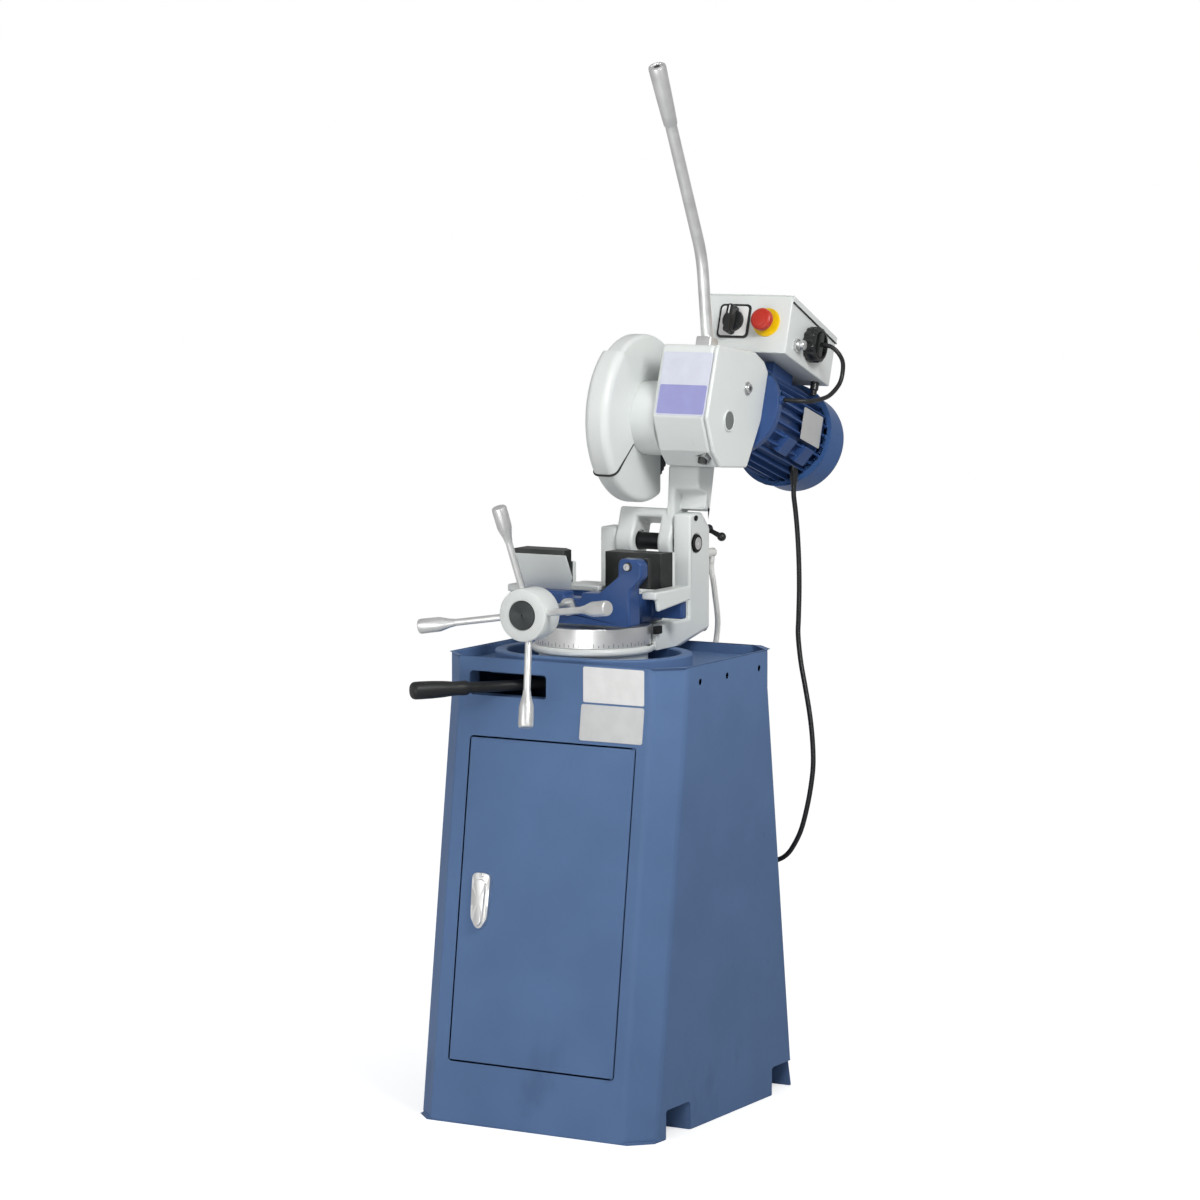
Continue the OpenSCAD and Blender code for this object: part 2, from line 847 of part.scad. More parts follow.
pointer_x = 8;
pointer_y0 = -34;
pointer_y1 = -14;
pointer_low = 36;
pointer_high = 50;
pointer_z0 = stand_h + pointer_low;
pointer_z1 = stand_h + pointer_high;
side_bolt_y = 119;
side_bolt_up = 226;
side_bolt_z = stand_h + side_bolt_up;
clamp_angle = 24;
back_bolt_x = 84;
back_bolt_low = 28;
back_bolt_high = 64;
back_bolt_z0 = stand_h + back_bolt_low;
back_bolt_z1 = stand_h + back_bolt_high;
elbow_x = 88;
elbow_r = 8;
elbow_len = 36;
elbow_drop = 18;
hose_r = 5;
cable_r = 4.5;
thin_r = 4;
low_lead = 30;
loop_lead = 12;
hose_route = [[88, 201, 140 - ease], [88, 201, 126], [89, 204, 114], [89, 208, 102], [88, 213, 90],
    [87, 218, 76],
    [86, 224, 62], [85, 229, 48], [83, 235, 34], [80, 240, 20], [77, 243, 6], [75, 242, -9], [73, 235,
        -22], [72, 224, -31]];
hose_pts = concat([for (p = hose_route) p + [0, 0, stand_h]],
    [for (gap = [16, 8, ease]) [riser_x, back_top + grommet_t + gap, hose_z]]);
top_route = [[169, 362, 266], [169, 362, 250], [171, 366, 220], [174, 368, 180], [178, 366, 130], [182,
    360, 80],
    [185, 352, 30]];
top_pts = [for (p = top_route) p + [0, 0, stand_h]];
top_end = top_pts[len(top_pts) - 1];
top_way = unit(top_end - top_pts[len(top_pts) - 2]);
low_route = [[196, 340, -45], [210, 331, -90], [223, 323, -135], [233, 315, -180], [239, 307, -225],
    [238, 300, -265],
    [231, 298, -305], [220, 297, -345]];
gland_way = [0, cos(slope), sin(slope)];
gland_mouth = [gland_x, back_y(gland_z), gland_z] + gland_len * gland_way;
loop_route = [[72, 52, 30], [59, 51, 14], [44, 50, 5], [28, 47, 1], [14, 39, 0], [4, 26, 1]];
low_pts = concat([top_end + ease * top_way, top_end + low_lead * top_way], [for (p = low_route) p + [0,
    0, stand_h]],
    [for (p = loop_route) gland_mouth + p], [gland_mouth + loop_lead * gland_way, gland_mouth]);
plug_route = [[237, 336, 524], [243, 336, 524], [257, 337, 520], [268, 341, 509], [273, 347, 494],
    [272, 349, 476],
    [271, 342, 459], [269, 327, 446], [266, 308, 436], [264, 288, 432], [261, 268, 430], [257, 248,
        429], [245, 234, 430],
    [229, 230, 431], [217, 230, 431]];
plug_pts = [for (p = plug_route) p + [0, 0, stand_h]];
ring_sides = 10;
function front_y(z) = z < band_z ? front_base + z * tan(slope) : front_top;
function back_y(z) = z < band_z ? back_base - z * tan(slope) : back_top;
function unit(v) = v / norm(v);
function run(p, i) = unit(p[min(i + 1, len(p) - 1)] - p[max(i - 1, 0)]);
function across(d) = unit(cross(abs(d.z) > abs(d.x) ? [1, 0, 0] : [0, 0, 1], d));
steel = "silver";
cast = [0.86, 0.88, 0.87];
blue = [0.33, 0.42, 0.57];
deep = [0.16, 0.27, 0.48];
dark = [0.22, 0.22, 0.23];
module box(a, b) translate(a) cube(b - a);
module rod_x(x0, x1, r) translate([x0, 0, 0]) rotate([0, 90, 0]) cylinder(h = x1 - x0, r = r);
module rod_y(y0, y1, r) translate([0, y0, 0]) rotate([-90, 0, 0]) cylinder(h = y1 - y0, r = r);
module rod_z(z0, z1, r) translate([0, 0, z0]) cylinder(h = z1 - z0, r = r);
module side(x0, x1) translate([x0, 0, 0]) rotate([90, 0, 90]) linear_extrude(x1 - x0) children();
module front(y0, y1) translate([0, y1, 0]) rotate([90, 0, 0]) linear_extrude(y1 - y0) children();
module at_saw() translate([0, saw_y, 0]) children();
module in_door() translate([0, front_base, 0]) rotate([-slope, 0, 0]) children();
module at_hinge() translate([0, hinge_y, hinge_z]) children();
module at_arbor() translate([0, arbor_y, arbor_z]) children();
module in_head() at_arbor() rotate([-head_tilt, 0, 0]) children();
module at_motor() in_head() translate([motor_x, 0, motor_v]) children();
module at_screw() translate([0, 0, screw_z]) children();
// A tube along a row of points, closed at both ends
module tube_along(p, r) {
    count = len(p);
    rings = [for (i = [0:count - 1])
        let (d = run(p, i), u = across(d), w = cross(d, u))
            [for (k = [0:ring_sides - 1]) p[i] + r * (cos(360 * k / ring_sides)
                * u + sin(360 * k / ring_sides) * w)]];
    walls = [for (i = [0:count - 2], k = [0:ring_sides - 1])
        let (a = i * ring_sides + k, b = i * ring_sides + (k + 1) % ring_sides)
            [a, a + ring_sides, b + ring_sides, b]];
    tris = [for (q = walls) each [[q[0], q[1], q[2]], [q[0], q[2], q[3]]]];
    first = [for (k = [1:ring_sides - 2]) [0, k, k + 1]];
    start = (count - 1) * ring_sides;
    last = [for (k = [1:ring_sides - 2]) [start, start + k + 1, start + k]];
    polyhedron([for (q = rings) each q], concat(tris, first, last));
}
// Flat on one upright corner, below and above the crease
module stand_corner(cut, wide, y_base, y_top, dir) {
    intersection() {
        translate([wide, y_base, 0]) rotate([-dir * slope, 0, 0]) translate([0, 0, -reach / 2])
            linear_extrude(reach)
            polygon([[-cut - over, -dir * over * cos(slope)], [over, dir * (cut + over) * cos(slope)],
                [over, -dir * over * cos(slope)]]);
        box([0, -reach, -reach], [reach, reach, band_z]);
    }
    translate([wide, y_top, band_z]) linear_extrude(stand_h)
        polygon([[-cut - over, -dir * over], [over, dir * (cut + over)], [over, -dir * over]]);
}
module stand_block(inset, z0, z1) {
    skin = inset / cos(slope);
    cut = corner - inset * flat_share;
    wide = half_w - inset;
    difference() {
        side(-wide, wide) polygon([[front_y(z0) + skin, z0], [back_y(z0) - skin, z0], [back_top - skin,
            band_z],
            [back_top - skin, z1], [front_top + skin, z1], [front_top + skin, band_z]]);
        for (turn = [0, 1]) mirror([turn, 0, 0]) {
            stand_corner(cut, wide, front_base + skin, front_top + skin, 1);
            stand_corner(cut, wide, back_base - skin, back_top - skin, -1);
        }
    }
}
module stand_slice(z0, z1) intersection() {
    stand_block(sheet, -over, stand_h + over);
    box([-reach, -reach, z0], [reach, reach, z1]);
}
module stand_cabinet() color(blue) difference() {
    stand_block(0, 0, stand_h);
    stand_block(sheet, -over, stand_h + over);
    in_door() box([door_x0 - door_gap, -over, door_s0 - door_gap],
        [door_x1 + door_gap, door_depth, door_s1 + door_gap]);
    box([slot_x0, front_top - over, slot_z0], [slot_x1, front_top + door_depth, slot_z0 + slot_h]);
    for (y = [band_hole_y0, band_hole_y1, band_hole_y2])
        translate([0, y, band_hole_z]) rod_x(half_w - door_depth, half_w + over, band_hole_r);
    for (y = [fork_front_y, fork_back_y])
        box([-half_w - over, y - fork_w / 2, -over], [half_w + over, y + fork_w / 2, fork_h]);
    translate([gland_x, back_y(gland_z), gland_z]) rotate([slope, 0, 0]) rod_y(-door_depth, door_depth,
        gland_r);
    translate([riser_x, 0, hose_z]) rod_y(back_top - door_depth, back_top + over, grommet_neck);
}
module stand_floor() color(blue) {
    stand_slice(floor_z, floor_z + sheet);
    intersection() {
        stand_slice(0, floor_z + sheet);
        for (y = [fork_front_y, fork_back_y], wall = [y - fork_w / 2 - sheet, y + fork_w / 2])
            box([-half_w, wall, 0], [half_w, wall + sheet, floor_z + sheet]);
    }
    difference() {
        intersection() {
            stand_slice(0, rail_t);
            union() {
                box([-rail_half, front_base, 0], [rail_half, front_base + rail_w, rail_t]);
                box([-rail_half, back_base - rail_w, 0], [rail_half, back_base, rail_t]);
            }
        }
        for (x = [-anchor_x, anchor_x], y = [-anchor_y, anchor_y])
            translate([x, y, 0]) rod_z(-over, rail_t + over, anchor_r);
    }
}
module stand_tray() color(deep) difference() {
    union() {
        stand_slice(tray_z - sheet, tray_z);
        box([-plate_half, saw_y - plate_front, tray_z - sheet - plate_t], [plate_half,
            saw_y + plate_back, tray_z - sheet]);
    }
    at_saw() rod_z(stand_h / 2, stand_h, stud_r + fit);
}
module stadium(r) {
    for (x = [-collar_half, collar_half]) translate([x, 0]) circle(r);
    square([2 * collar_half, 2 * r], center = true);
}
module tray_collar() color(blue) at_saw() translate([0, 0, tray_z])
    linear_extrude(base_z - tray_z - ease) difference() {
    stadium(collar_r);
    stadium(collar_r - collar_wall);
}
module coolant_tank() color(steel) difference() {
    box([tank_x0, tank_y0, floor_z + sheet], [tank_x1, tank_y1, tank_top + tank_t]);
    box([tank_x0 + tank_t, tank_y0 + tank_t, floor_z + sheet + tank_t], [tank_x1 - tank_t,
        tank_y1 - tank_t, tank_top]);
    translate([pump_x, riser_y - tank_t, 0]) rod_z(tank_top - over, tank_top + tank_t + over,
        pump_foot_r + fit);
}
module coolant_pump() color(dark) {
    translate([pump_x, riser_y - tank_t, tank_top + tank_t]) {
        rod_z(0, pump_flange_t, pump_flange_r);
        rod_z(0, pump_flange_t + pump_h, pump_r);
        rod_z(-pump_foot_h, pump_flange_t, pump_foot_r);
    }
    translate([0, riser_y, outlet_z]) rod_x(pump_x, riser_x + riser_r, riser_r);
    translate([riser_x, riser_y, 0]) rod_z(outlet_z, hose_z + riser_r, riser_r);
    translate([riser_x, 0, hose_z]) rod_y(riser_y, back_top + grommet_t, riser_r);
}
module stand_glands() color(dark) {
    translate([riser_x, back_top, hose_z]) difference() {
        union() {
            rod_y(-grommet_t, 0, grommet_neck);
            rod_y(0, grommet_t, grommet_r);
        }
        rod_y(-grommet_t - over, grommet_t + over, riser_r + fit);
    }
    translate([gland_x, back_y(gland_z), gland_z]) rotate([slope, 0, 0]) {
        rod_y(-gland_len, 0, gland_r);
        rod_y(0, gland_len, gland_r + sheet);
    }
}
module latch_out(r, tail, drop) {
    circle(r);
    translate([0, -drop]) circle(tail);
    polygon([[-r, 0], [r, 0], [tail, -drop], [-tail, -drop]]);
}
module door_panel() color(blue) in_door() difference() {
    box([door_x0, 0, door_s0], [door_x1, door_depth, door_s1]);
    box([door_x0 + sheet, sheet, door_s0 + sheet], [door_x1 - sheet, door_depth + over, door_s1 - sheet]);
    translate([pin_x, pin_inset, 0]) {
        rod_z(door_s0 - over, door_s0 + pin_grip + over, pin_r + fit);
        rod_z(door_s1 - pin_grip - over, door_s1 + over, pin_r + fit);
    }
    translate([latch_x, 0, latch_s]) rod_y(-over, sheet + over, barrel_r + fit);
}
module door_brackets() color(blue) in_door() {
    box([pin_x - bracket_w / 2, sheet, door_s1 + door_gap], [pin_x + bracket_w / 2, sheet + bracket_d,
        door_s1 + door_gap + bracket_h]);
    box([pin_x - bracket_w / 2, sheet, door_s0 - door_gap - bracket_h], [pin_x + bracket_w / 2,
        sheet + bracket_d, door_s0 - door_gap]);
    translate([pin_x, pin_inset, 0]) {
        rod_z(door_s1 - pin_grip, door_s1 + door_gap, pin_r);
        rod_z(door_s0 - door_gap, door_s0 + pin_grip, pin_r);
    }
    box([door_x0 - door_gap - sheet - strike_w, sheet, latch_s - strike_h / 2],
        [door_x0 - door_gap - sheet, cam_y - ease, latch_s + strike_h / 2]);
}
module latch_body() color(steel) in_door() translate([latch_x, 0, latch_s]) difference() {
    union() {
        front(-latch_t, 0) latch_out(latch_r, latch_tail_r, latch_drop);
        rod_y(-latch_t, door_depth, barrel_r);
    }
    rod_y(-latch_t - over, door_depth + over, spindle_r + fit);
    translate([0, 0, button_up]) rod_y(-latch_t - over, over, button_r + fit);
}
module latch_handle() color(steel) in_door() translate([latch_x, 0, latch_s]) {
    front(-latch_t - ease - handle_t, -latch_t - ease) latch_out(handle_r, handle_tail_r, handle_drop);
    rod_y(-latch_t - ease, cam_y + cam_t, spindle_r);
    box([-cam_w / 2, cam_y, -cam_w / 2], [cam_w / 2, cam_y + cam_t, cam_reach]);
}
module latch_button() color(dark) in_door() translate([latch_x, 0, latch_s + button_up])
    rod_y(-latch_t - button_proud, -latch_t + button_proud, button_r);
module pedestal_hub() color(cast) at_saw() difference() {
    union() {
        rod_z(tray_z, base_z - ease, hub_foot_r);
        rod_z(tray_z, vise_z, hub_r);
    }
    rod_z(tray_z - over, vise_z + over, stud_r + fit);
}
module scale_ring() color(cast) at_saw() difference() {
    rod_z(ring_z0, vise_z, ring_r);
    rod_z(ring_z0 - over, vise_z + over, hub_r + fit);
}
module lock_stud() color(steel) at_saw() {
    rod_z(lever_low - ease - stud_nut_h, vise_z - ease, stud_r);
    translate([0, 0, lever_low - ease - stud_nut_h]) cylinder(h = stud_nut_h, r = stud_nut_r, $fn = 6);
}
module lock_lever() color(dark) at_saw() translate([0, 0, lever_z]) difference() {
    union() {
        rod_z(-lever_hub_h / 2, lever_hub_h / 2, lever_hub_r);
        rotate([0, 0, -lever_angle]) rod_y(-lever_len + lever_grip_len / 2, 0, lever_rod_r);
    }
    rod_z(-lever_hub_h, lever_hub_h, stud_r + fit);
}
module lock_grip() color(dark) at_saw() translate([0, 0, lever_z]) rotate([0, 0, -lever_angle])
    difference() {
    rod_y(-lever_len, -lever_len + lever_grip_len, lever_grip_r);
    rod_y(-lever_len + lever_grip_len / 2, 0, lever_rod_r);
}
module both_sides() for (turn = [0, 1]) mirror([turn, 0, 0]) children();
module vise_base() color(deep) difference() {
    union() {
        box([-vise_base_half, vise_front, vise_z], [vise_base_half, vise_back, bed_z - bed_t]);
        both_sides() box([0, wing_y1 - tie_d, wing_top - wing_t - tie_drop], [wing_x1 - gusset_t,
            wing_y1, wing_top - wing_t]);
    }
    at_screw() rod_y(vise_front - over, vise_back + over, screw_r + clear);
    at_screw() rod_y(vise_front - over, vise_front + nut_len, nut_r);
}
module vise_bed() color(cast) {
    difference() {
        union() {
            box([-vise_base_half, vise_front, bed_z - bed_t], [vise_base_half, vise_back, bed_z]);
            box([-jaw_x1, jaw_y, bed_z - bed_t], [jaw_x1, jaw_back + backing_t, bed_z]);
            box([jaw_x0, jaw_back, bed_z], [jaw_x1, jaw_back + backing_t, backing_top]);
            box([-jaw_x1, jaw_back, bed_z], [-left_jaw_x, jaw_back + backing_t, left_jaw_top]);
        }
        box([slot_left, vise_front - over, bed_z - bed_t - over], [slot_right, vise_back + over,
            backing_top + over]);
    }
    both_sides() {
        box([wing_x0, wing_y0, wing_top - wing_t], [wing_x1, wing_y1, wing_top]);
        side(wing_x1 - gusset_t, wing_x1)
            polygon([[wing_y1, wing_top - wing_t], [wing_y1, wing_top - wing_t - gusset_back],
                [wing_y0 + wing_t, wing_top - wing_t - gusset_front], [wing_y0 + gusset_t,
                    wing_top - wing_t]]);
    }
}
module vise_nut() color("goldenrod") at_screw() difference() {
    rod_y(vise_front, vise_front + nut_len, nut_r);
    rod_y(vise_front - over, vise_front + nut_len + over, screw_r + fit);
}
module fixed_jaws() color(dark) {
    box([jaw_x0, jaw_y, bed_z], [jaw_x1, jaw_back, jaw_top]);
    box([-jaw_x1, jaw_y, bed_z], [-left_jaw_x, jaw_back, left_jaw_top]);
}
module jaw_carriage() color(deep) difference() {
    union() {
        box([bridge_x0, bridge_y0, bridge_z0], [bridge_x1, bridge_y1, bridge_z1]);
        intersection() {
            front(bridge_y0, mover_face) polygon([[arm_foot_x, bridge_z0], [bridge_x1, bridge_z0],
                [bridge_x1, arm_low],
                [arm_x1, arm_mid], [arm_x1, arm_top - arm_bevel], [arm_x1 - arm_bevel, arm_top],
                [arm_x0 + arm_bevel / 2, arm_top], [arm_x0, arm_top - arm_bevel], [arm_x0, arm_mid],
                    [arm_foot_x, bridge_z1]]);
            side(arm_foot_x - over, arm_x1 + over) polygon([[bridge_y0, bridge_z0], [bridge_y1, bridge_z0],
                [head_y1, bridge_z1], [head_y1, arm_top], [head_y0, arm_top], [head_y0, arm_mid],
                    [bridge_y0, bridge_z1]]);
        }
    }
    at_screw() rod_y(bridge_y0 - over, bridge_y1 + over, screw_r + fit);
    box([slot_left - groove_left, bridge_y0 - over, bridge_z1 - blade_groove],
        [slot_right + groove_right, bridge_y1 + over, bridge_z1 + over]);
}
module moving_jaws() color(dark) {
    difference() {
        side(mover_x0, mover_x1) polygon([[mover_face, bridge_z1], [mover_face, mover_top],
        [mover_face - mover_d, mover_top], [mover_face - mover_d, mover_top - mover_lip],
            [mover_face - mover_foot, bridge_z1]]);
        translate([0, 0, bridge_z1 - over]) linear_extrude(mover_top - bridge_z1 + 2 * over)
            polygon([[mover_x1 + over, mover_face + over], [mover_x1 - mitre_relief - over,
                mover_face + over],
                [mover_x1 + over, mover_face - mitre_relief - over]]);
    }
    box([arm_x0, head_y1, arm_low], [arm_x1, mover_face, arm_top]);
}
module arm_bolt() color(steel) translate([arm_bolt_x, head_y0, arm_bolt_z]) difference() {
    rod_y(-arm_bolt_len, 0, arm_bolt_r);
    translate([0, -arm_bolt_len - over, 0]) rotate([-90, 0, 0])
        cylinder(h = arm_bolt_len * socket_share + over, r = arm_bolt_r * socket_share, $fn = 6);
}
module splash_plate() color(cast) difference() {
    side(splash_x0, splash_x1)
    polygon([[mover_face - mover_d, mover_top - mover_lip], [mover_face - mover_d - splash_t,
        mover_top - mover_lip],
        [mover_face - mover_foot - splash_t, bridge_z1], [mover_face - mover_foot, bridge_z1]]);
    front(mover_face - reach, mover_face) polygon([[splash_x1 + over, bridge_z1 - over],
        [splash_x1 - nick_w, bridge_z1 - over], [splash_x1 + over, bridge_z1 + nick_h]]);
}
module vise_screw() color(steel) at_screw() {
    rod_y(wheel_y + wheel_t, screw_end, screw_r);
    rod_y(bridge_y0 - ring_len, bridge_y0 - ease, screw_r + screw_ring);
}
module on_spokes() translate([0, hub_mid, screw_z])
    for (turn = [0:90:270]) rotate([0, -turn - spoke_turn, 0]) rotate([0, 0, -spoke_rake]) children();
module grip_x(x0, x1, r, thin) translate([x0, 0, 0]) rotate([0, 90, 0]) {
    cylinder(h = (x1 - x0) * flare_share, r1 = thin, r2 = r);
    translate([0, 0, (x1 - x0) * flare_share]) cylinder(h = (x1 - x0) * (1 - flare_share), r = r);
}
module wheel_hub() color(cast) difference() {
    at_screw() rod_y(wheel_y, wheel_y + wheel_t, wheel_r);
    at_screw() rod_y(wheel_y - over, wheel_y + wheel_cap_t, wheel_cap_r);
    on_spokes() rod_x(spoke_root, spoke_tip, spoke_r);
}
module wheel_cap() color(dark) at_screw() rod_y(wheel_y - wheel_cap_t / 2, wheel_y + wheel_cap_t,
    wheel_cap_r);
module wheel_spokes() color(steel) on_spokes() rod_x(spoke_root, spoke_tip - knob_bury, spoke_r);
module wheel_grips() color(cast) difference() {
    on_spokes() grip_x(spoke_tip - knob_len, spoke_tip, knob_r, spoke_r + fit);
    on_spokes() rod_x(spoke_root, spoke_tip - knob_bury, spoke_r);
}
module upright(x0, x1, top) side(x0, x1) polygon([[col_y0, base_z], [col_y1, base_z], [col_y1,
    top - col_bevel],
    [col_y1 - col_bevel, top], [col_y0, top]]);
module swivel_column() color(cast) difference() {
    union() {
        at_saw() rod_z(base_z, base_z + flange_h, flange_r);
        box([foot_x0, foot_y0, base_z], [col_x3, col_y1, foot_top]);
        box([col_x0, col_y0, base_z], [col_x3, col_y1, web_top]);
        upright(col_x0, col_x1, left_top);
        upright(col_x2, col_x3, right_top);
    }
    at_saw() rod_z(base_z - over, base_z + flange_h + over, hub_r + fit);
    at_saw() rod_z(base_z + flange_h, foot_top + over, ring_r + clear);
    at_hinge() rod_x(col_x0 - over, col_x3 + over, shaft_r + fit);
    side(foot_x0 - over, col_x3 + over) polygon([[foot_flat_y, base_z], [foot_flat_y, base_z - over],
        [col_y1 + over, base_z - over], [col_y1 + over, base_z + foot_rise]]);
}
module column_fittings() color(dark) {
    box([col_x3, pointer_y0, pointer_z0], [col_x3 + pointer_x, pointer_y1, pointer_z1]);
    at_hinge() rod_x(col_x3, col_x3 + cap_t, cap_r);
    translate([0, side_bolt_y, side_bolt_z]) rod_x(col_x3, col_x3 + cap_t, side_bolt_r);
    for (z = [back_bolt_z0, back_bolt_z1]) translate([back_bolt_x, 0, z]) rod_y(col_y1,
        col_y1 + back_bolt_len, back_bolt_r);
    translate([elbow_x, 0, elbow_z]) rod_y(col_y1, col_y1 + elbow_len, elbow_r);
    translate([elbow_x, col_y1 + elbow_len - hose_r - elbow_r / 4, 0]) rod_z(elbow_z - elbow_drop,
        elbow_z, hose_r + ease);
}
module hinge_shaft() color(dark) at_hinge() rod_x(col_x0, col_x3, shaft_r);
module clamp_lever() color(dark) translate([clamp_x, col_y1, clamp_z]) {
    rod_y(0, clamp_len, clamp_r);
    translate([0, clamp_len, 0]) rotate([0, clamp_angle, 0]) {
        rod_x(-clamp_bar / 2, clamp_bar / 2, clamp_bar_r);
        rod_x(clamp_bar / 2 - clamp_ball_r, clamp_bar / 2 + clamp_ball_r, clamp_ball_r);
    }
}
module coolant_hose() color("gainsboro") tube_along(hose_pts, hose_r);
module gear_outline() offset(r = gear_round) offset(delta = -gear_round)
    polygon(gear_size * gear_outline_shares);
module head_arm() color(cast) in_head() difference() {
    translate([0, hinge_ly, hinge_lz]) union() {
        rod_x(ear_x0, ear_x1, ear_r);
        rod_x(ear_x2, ear_x3, ear_r);
        box([ear_x0, -ear_half, 0], [ear_x1, ear_half, ear_top]);
        box([ear_x2, -ear_half, 0], [ear_x3, ear_half, ear_top]);
        box([ear_x0, -ear_half, ear_roof], [ear_x3, ear_half, ear_top]);
        side(neck_x0, ear_x3) polygon([[-ear_half, ear_roof], [ear_half, ear_roof], [neck_low_back,
            neck_low], [-neck_low_front, neck_low]]);
        side(neck_x0, neck_x1) polygon([[-neck_low_front, neck_low], [neck_low_back, neck_low],
            [neck_top_back, -hinge_lz], [-neck_top_front, -hinge_lz]]);
        difference() {
            side(ear_x3, neck_x1) polygon([[-heel_front, heel_low], [neck_low_back, heel_low],
                [neck_low_back, neck_low], [-heel_front, neck_low]]);
            rod_x(ear_x3 - over, neck_x1 + over, heel_gap);
        }
    }
    translate([0, hinge_ly, hinge_lz]) rod_x(ear_x0 - over, ear_x3 + over, shaft_r + fit);
    side(neck_x0 - over, neck_x1 + over) gear_outline();
    rod_x(ear_x0 - over, box_x0 + over, nose_r + clear);
}
module gearbox_housing() color(cast) in_head() difference() {
    union() {
        side(box_x0, box_x1 - cover_t) gear_outline();
        rod_x(nose_x, box_x0, nose_r);
    }
    rod_x(nose_x - over, box_x0, nose_bore);
    rod_x(nose_x, box_x0 + box_wall + over, arbor_r + clear);
    rod_x(box_x0 + box_wall, box_x1, gear_bore);
    translate([motor_x, 0, motor_v]) rod_y(-tunnel_end, reach, tunnel_r);
    translate([drain_x, drain_y, 0]) rod_z(-drain_low, -drain_top, drain_r);
}
module gearbox_cover() color(cast) in_head() side(box_x1 - cover_t, box_x1) gear_outline();
module gearbox_plugs() in_head() {
    rod_x(box_x1, box_x1 + plug_t, plug_r);
    translate([0, filler_y, filler_v]) rod_x(box_x1, box_x1 + filler_t, filler_r);
    translate([drain_x, drain_y, 0]) rod_z(-drain_low, -drain_top, drain_r);
}
module head_plates() color("gainsboro") {
    in_head() box([box_x0 + plate_edge, gear_front - label_t, gear_size * plate_low_share],
        [box_x1 - plate_edge, gear_front, gear_size * plate_top_share]);
    at_motor() box([fin_tip_r, nameplate_y, -motor_plate_h / 2], [fin_tip_r + label_t,
        nameplate_y + motor_plate_w, motor_plate_h / 2]);
}
module arbor() color(steel) in_head() {
    rod_x(-flange_t, box_x1 - cover_t - flange_t, arbor_r);
    rod_x(-flange_t, 0, clamp_flange_r);
    rod_x(blade_t, blade_t + flange_t, clamp_flange_r);
    translate([-flange_t - arbor_nut_h, 0, 0]) rotate([0, 90, 0]) cylinder(h = arbor_nut_h,
        r = arbor_nut_r, $fn = 6);
}
module arbor_bearings() color(steel) in_head() for (x = [bearing_x0, bearing_x1]) difference() {
    rod_x(x, x + bearing_t, nose_bore);
    rod_x(x - over, x + bearing_t + over, arbor_r + fit);
}
module toothed(count, r, h, lead) polygon([for (i = [0:count - 1], k = [0, 1])
    let (a = 360 * (i + k * lead) / count, d = r - k * h) [d * cos(a), d * sin(a)]]);
module ribbed(count, r, h) polygon([for (i = [0:count - 1], k = [0:3])
    let (a = 360 * (i + k / 4) / count, d = k == 1 || k == 2 ? r : r - h) [d * cos(a), d * sin(a)]]);
module saw_blade() color(dark) in_head() side(0, blade_t) difference() {
    toothed(blade_teeth, blade_r, tooth_h, tooth_lead_share);
    circle(arbor_r + fit);
}
module worm_wheel() color("goldenrod") in_head() side(motor_x - wheel_gear_w / 2,
    motor_x + wheel_gear_w / 2) difference() {
    toothed(wheel_teeth, wheel_gear_r, gear_tooth_h, gear_lead_share);
    circle(arbor_r + fit);
}
module motor_rotor() color(steel) at_motor() {
    rod_y(-tunnel_end + over, shaft_end, rotor_shaft_r);
    rod_y(-worm_len / 2, worm_len / 2, worm_r);
    rod_y(rotor_y0, rotor_y1, rotor_r);
    rod_y(fan_y, fan_y + fan_t, fan_r);
}
module ctrl_side(drop) polygon([[ctrl_y0 + drop, ctrl_v0 + drop], [ctrl_y0 + drop,
    ctrl_v1 + over * (drop > 0 ? 1 : 0)],
    [ctrl_y1 - drop, ctrl_v1 - ctrl_top_drop + over * (drop > 0 ? 1 : 0)], [ctrl_y1 - drop,
        ctrl_v0 - ctrl_low_drop + drop]]);
module motor_body() color(deep) difference() {
    union() {
        at_motor() {
            rod_y(motor_y0, motor_y1, motor_r);
            for (i = [0:fin_count - 1]) rotate([0, 360 * i / fin_count, 0])
                box([motor_r - fin_t, motor_y0 + front_shield, -fin_t / 2], [fin_tip_r,
                    motor_y1 - back_shield, fin_t / 2]);
            rod_y(motor_y0, motor_y0 + front_shield, fin_tip_r);
            rod_y(motor_y1 - back_shield, motor_y1, cover_r - cover_wall - fit);
            box([motor_r - fin_t, nameplate_y, -motor_plate_h / 2], [fin_tip_r,
                nameplate_y + motor_plate_w, motor_plate_h / 2]);
            for (i = [0, 1]) translate([0, pad_y0 + i * pad_gap, 0]) rotate([0, pad_angle, 0])
                box([motor_r - fin_t, 0, -motor_pad / 2], [fin_tip_r + pad_t, motor_pad, motor_pad / 2]);
        }
        at_motor() translate([0, side_gland_y, side_gland_v]) rod_x(stator_bore, side_gland_x,
            side_gland_r);
        in_head() box([motor_x - ctrl_post, post_y0, motor_v], [motor_x + ctrl_post, post_y1, ctrl_v1]);
    }
    in_head() side(ctrl_x0, ctrl_x1) polygon([[ctrl_y0 - over,
        ctrl_v0 + ctrl_low_drop * over / ctrl_d], [ctrl_y1, ctrl_v0 - ctrl_low_drop],
        [ctrl_y1, ctrl_v1 + over], [ctrl_y0 - over, ctrl_v1 + over]]);
    in_head() side(box_x0 - over, box_x1) gear_outline();
    at_motor() rod_y(rotor_y0 - over, rotor_y1 + over, stator_bore);
    at_motor() rod_y(motor_y0 - over, motor_y1 + over, rotor_shaft_r + fit);
}
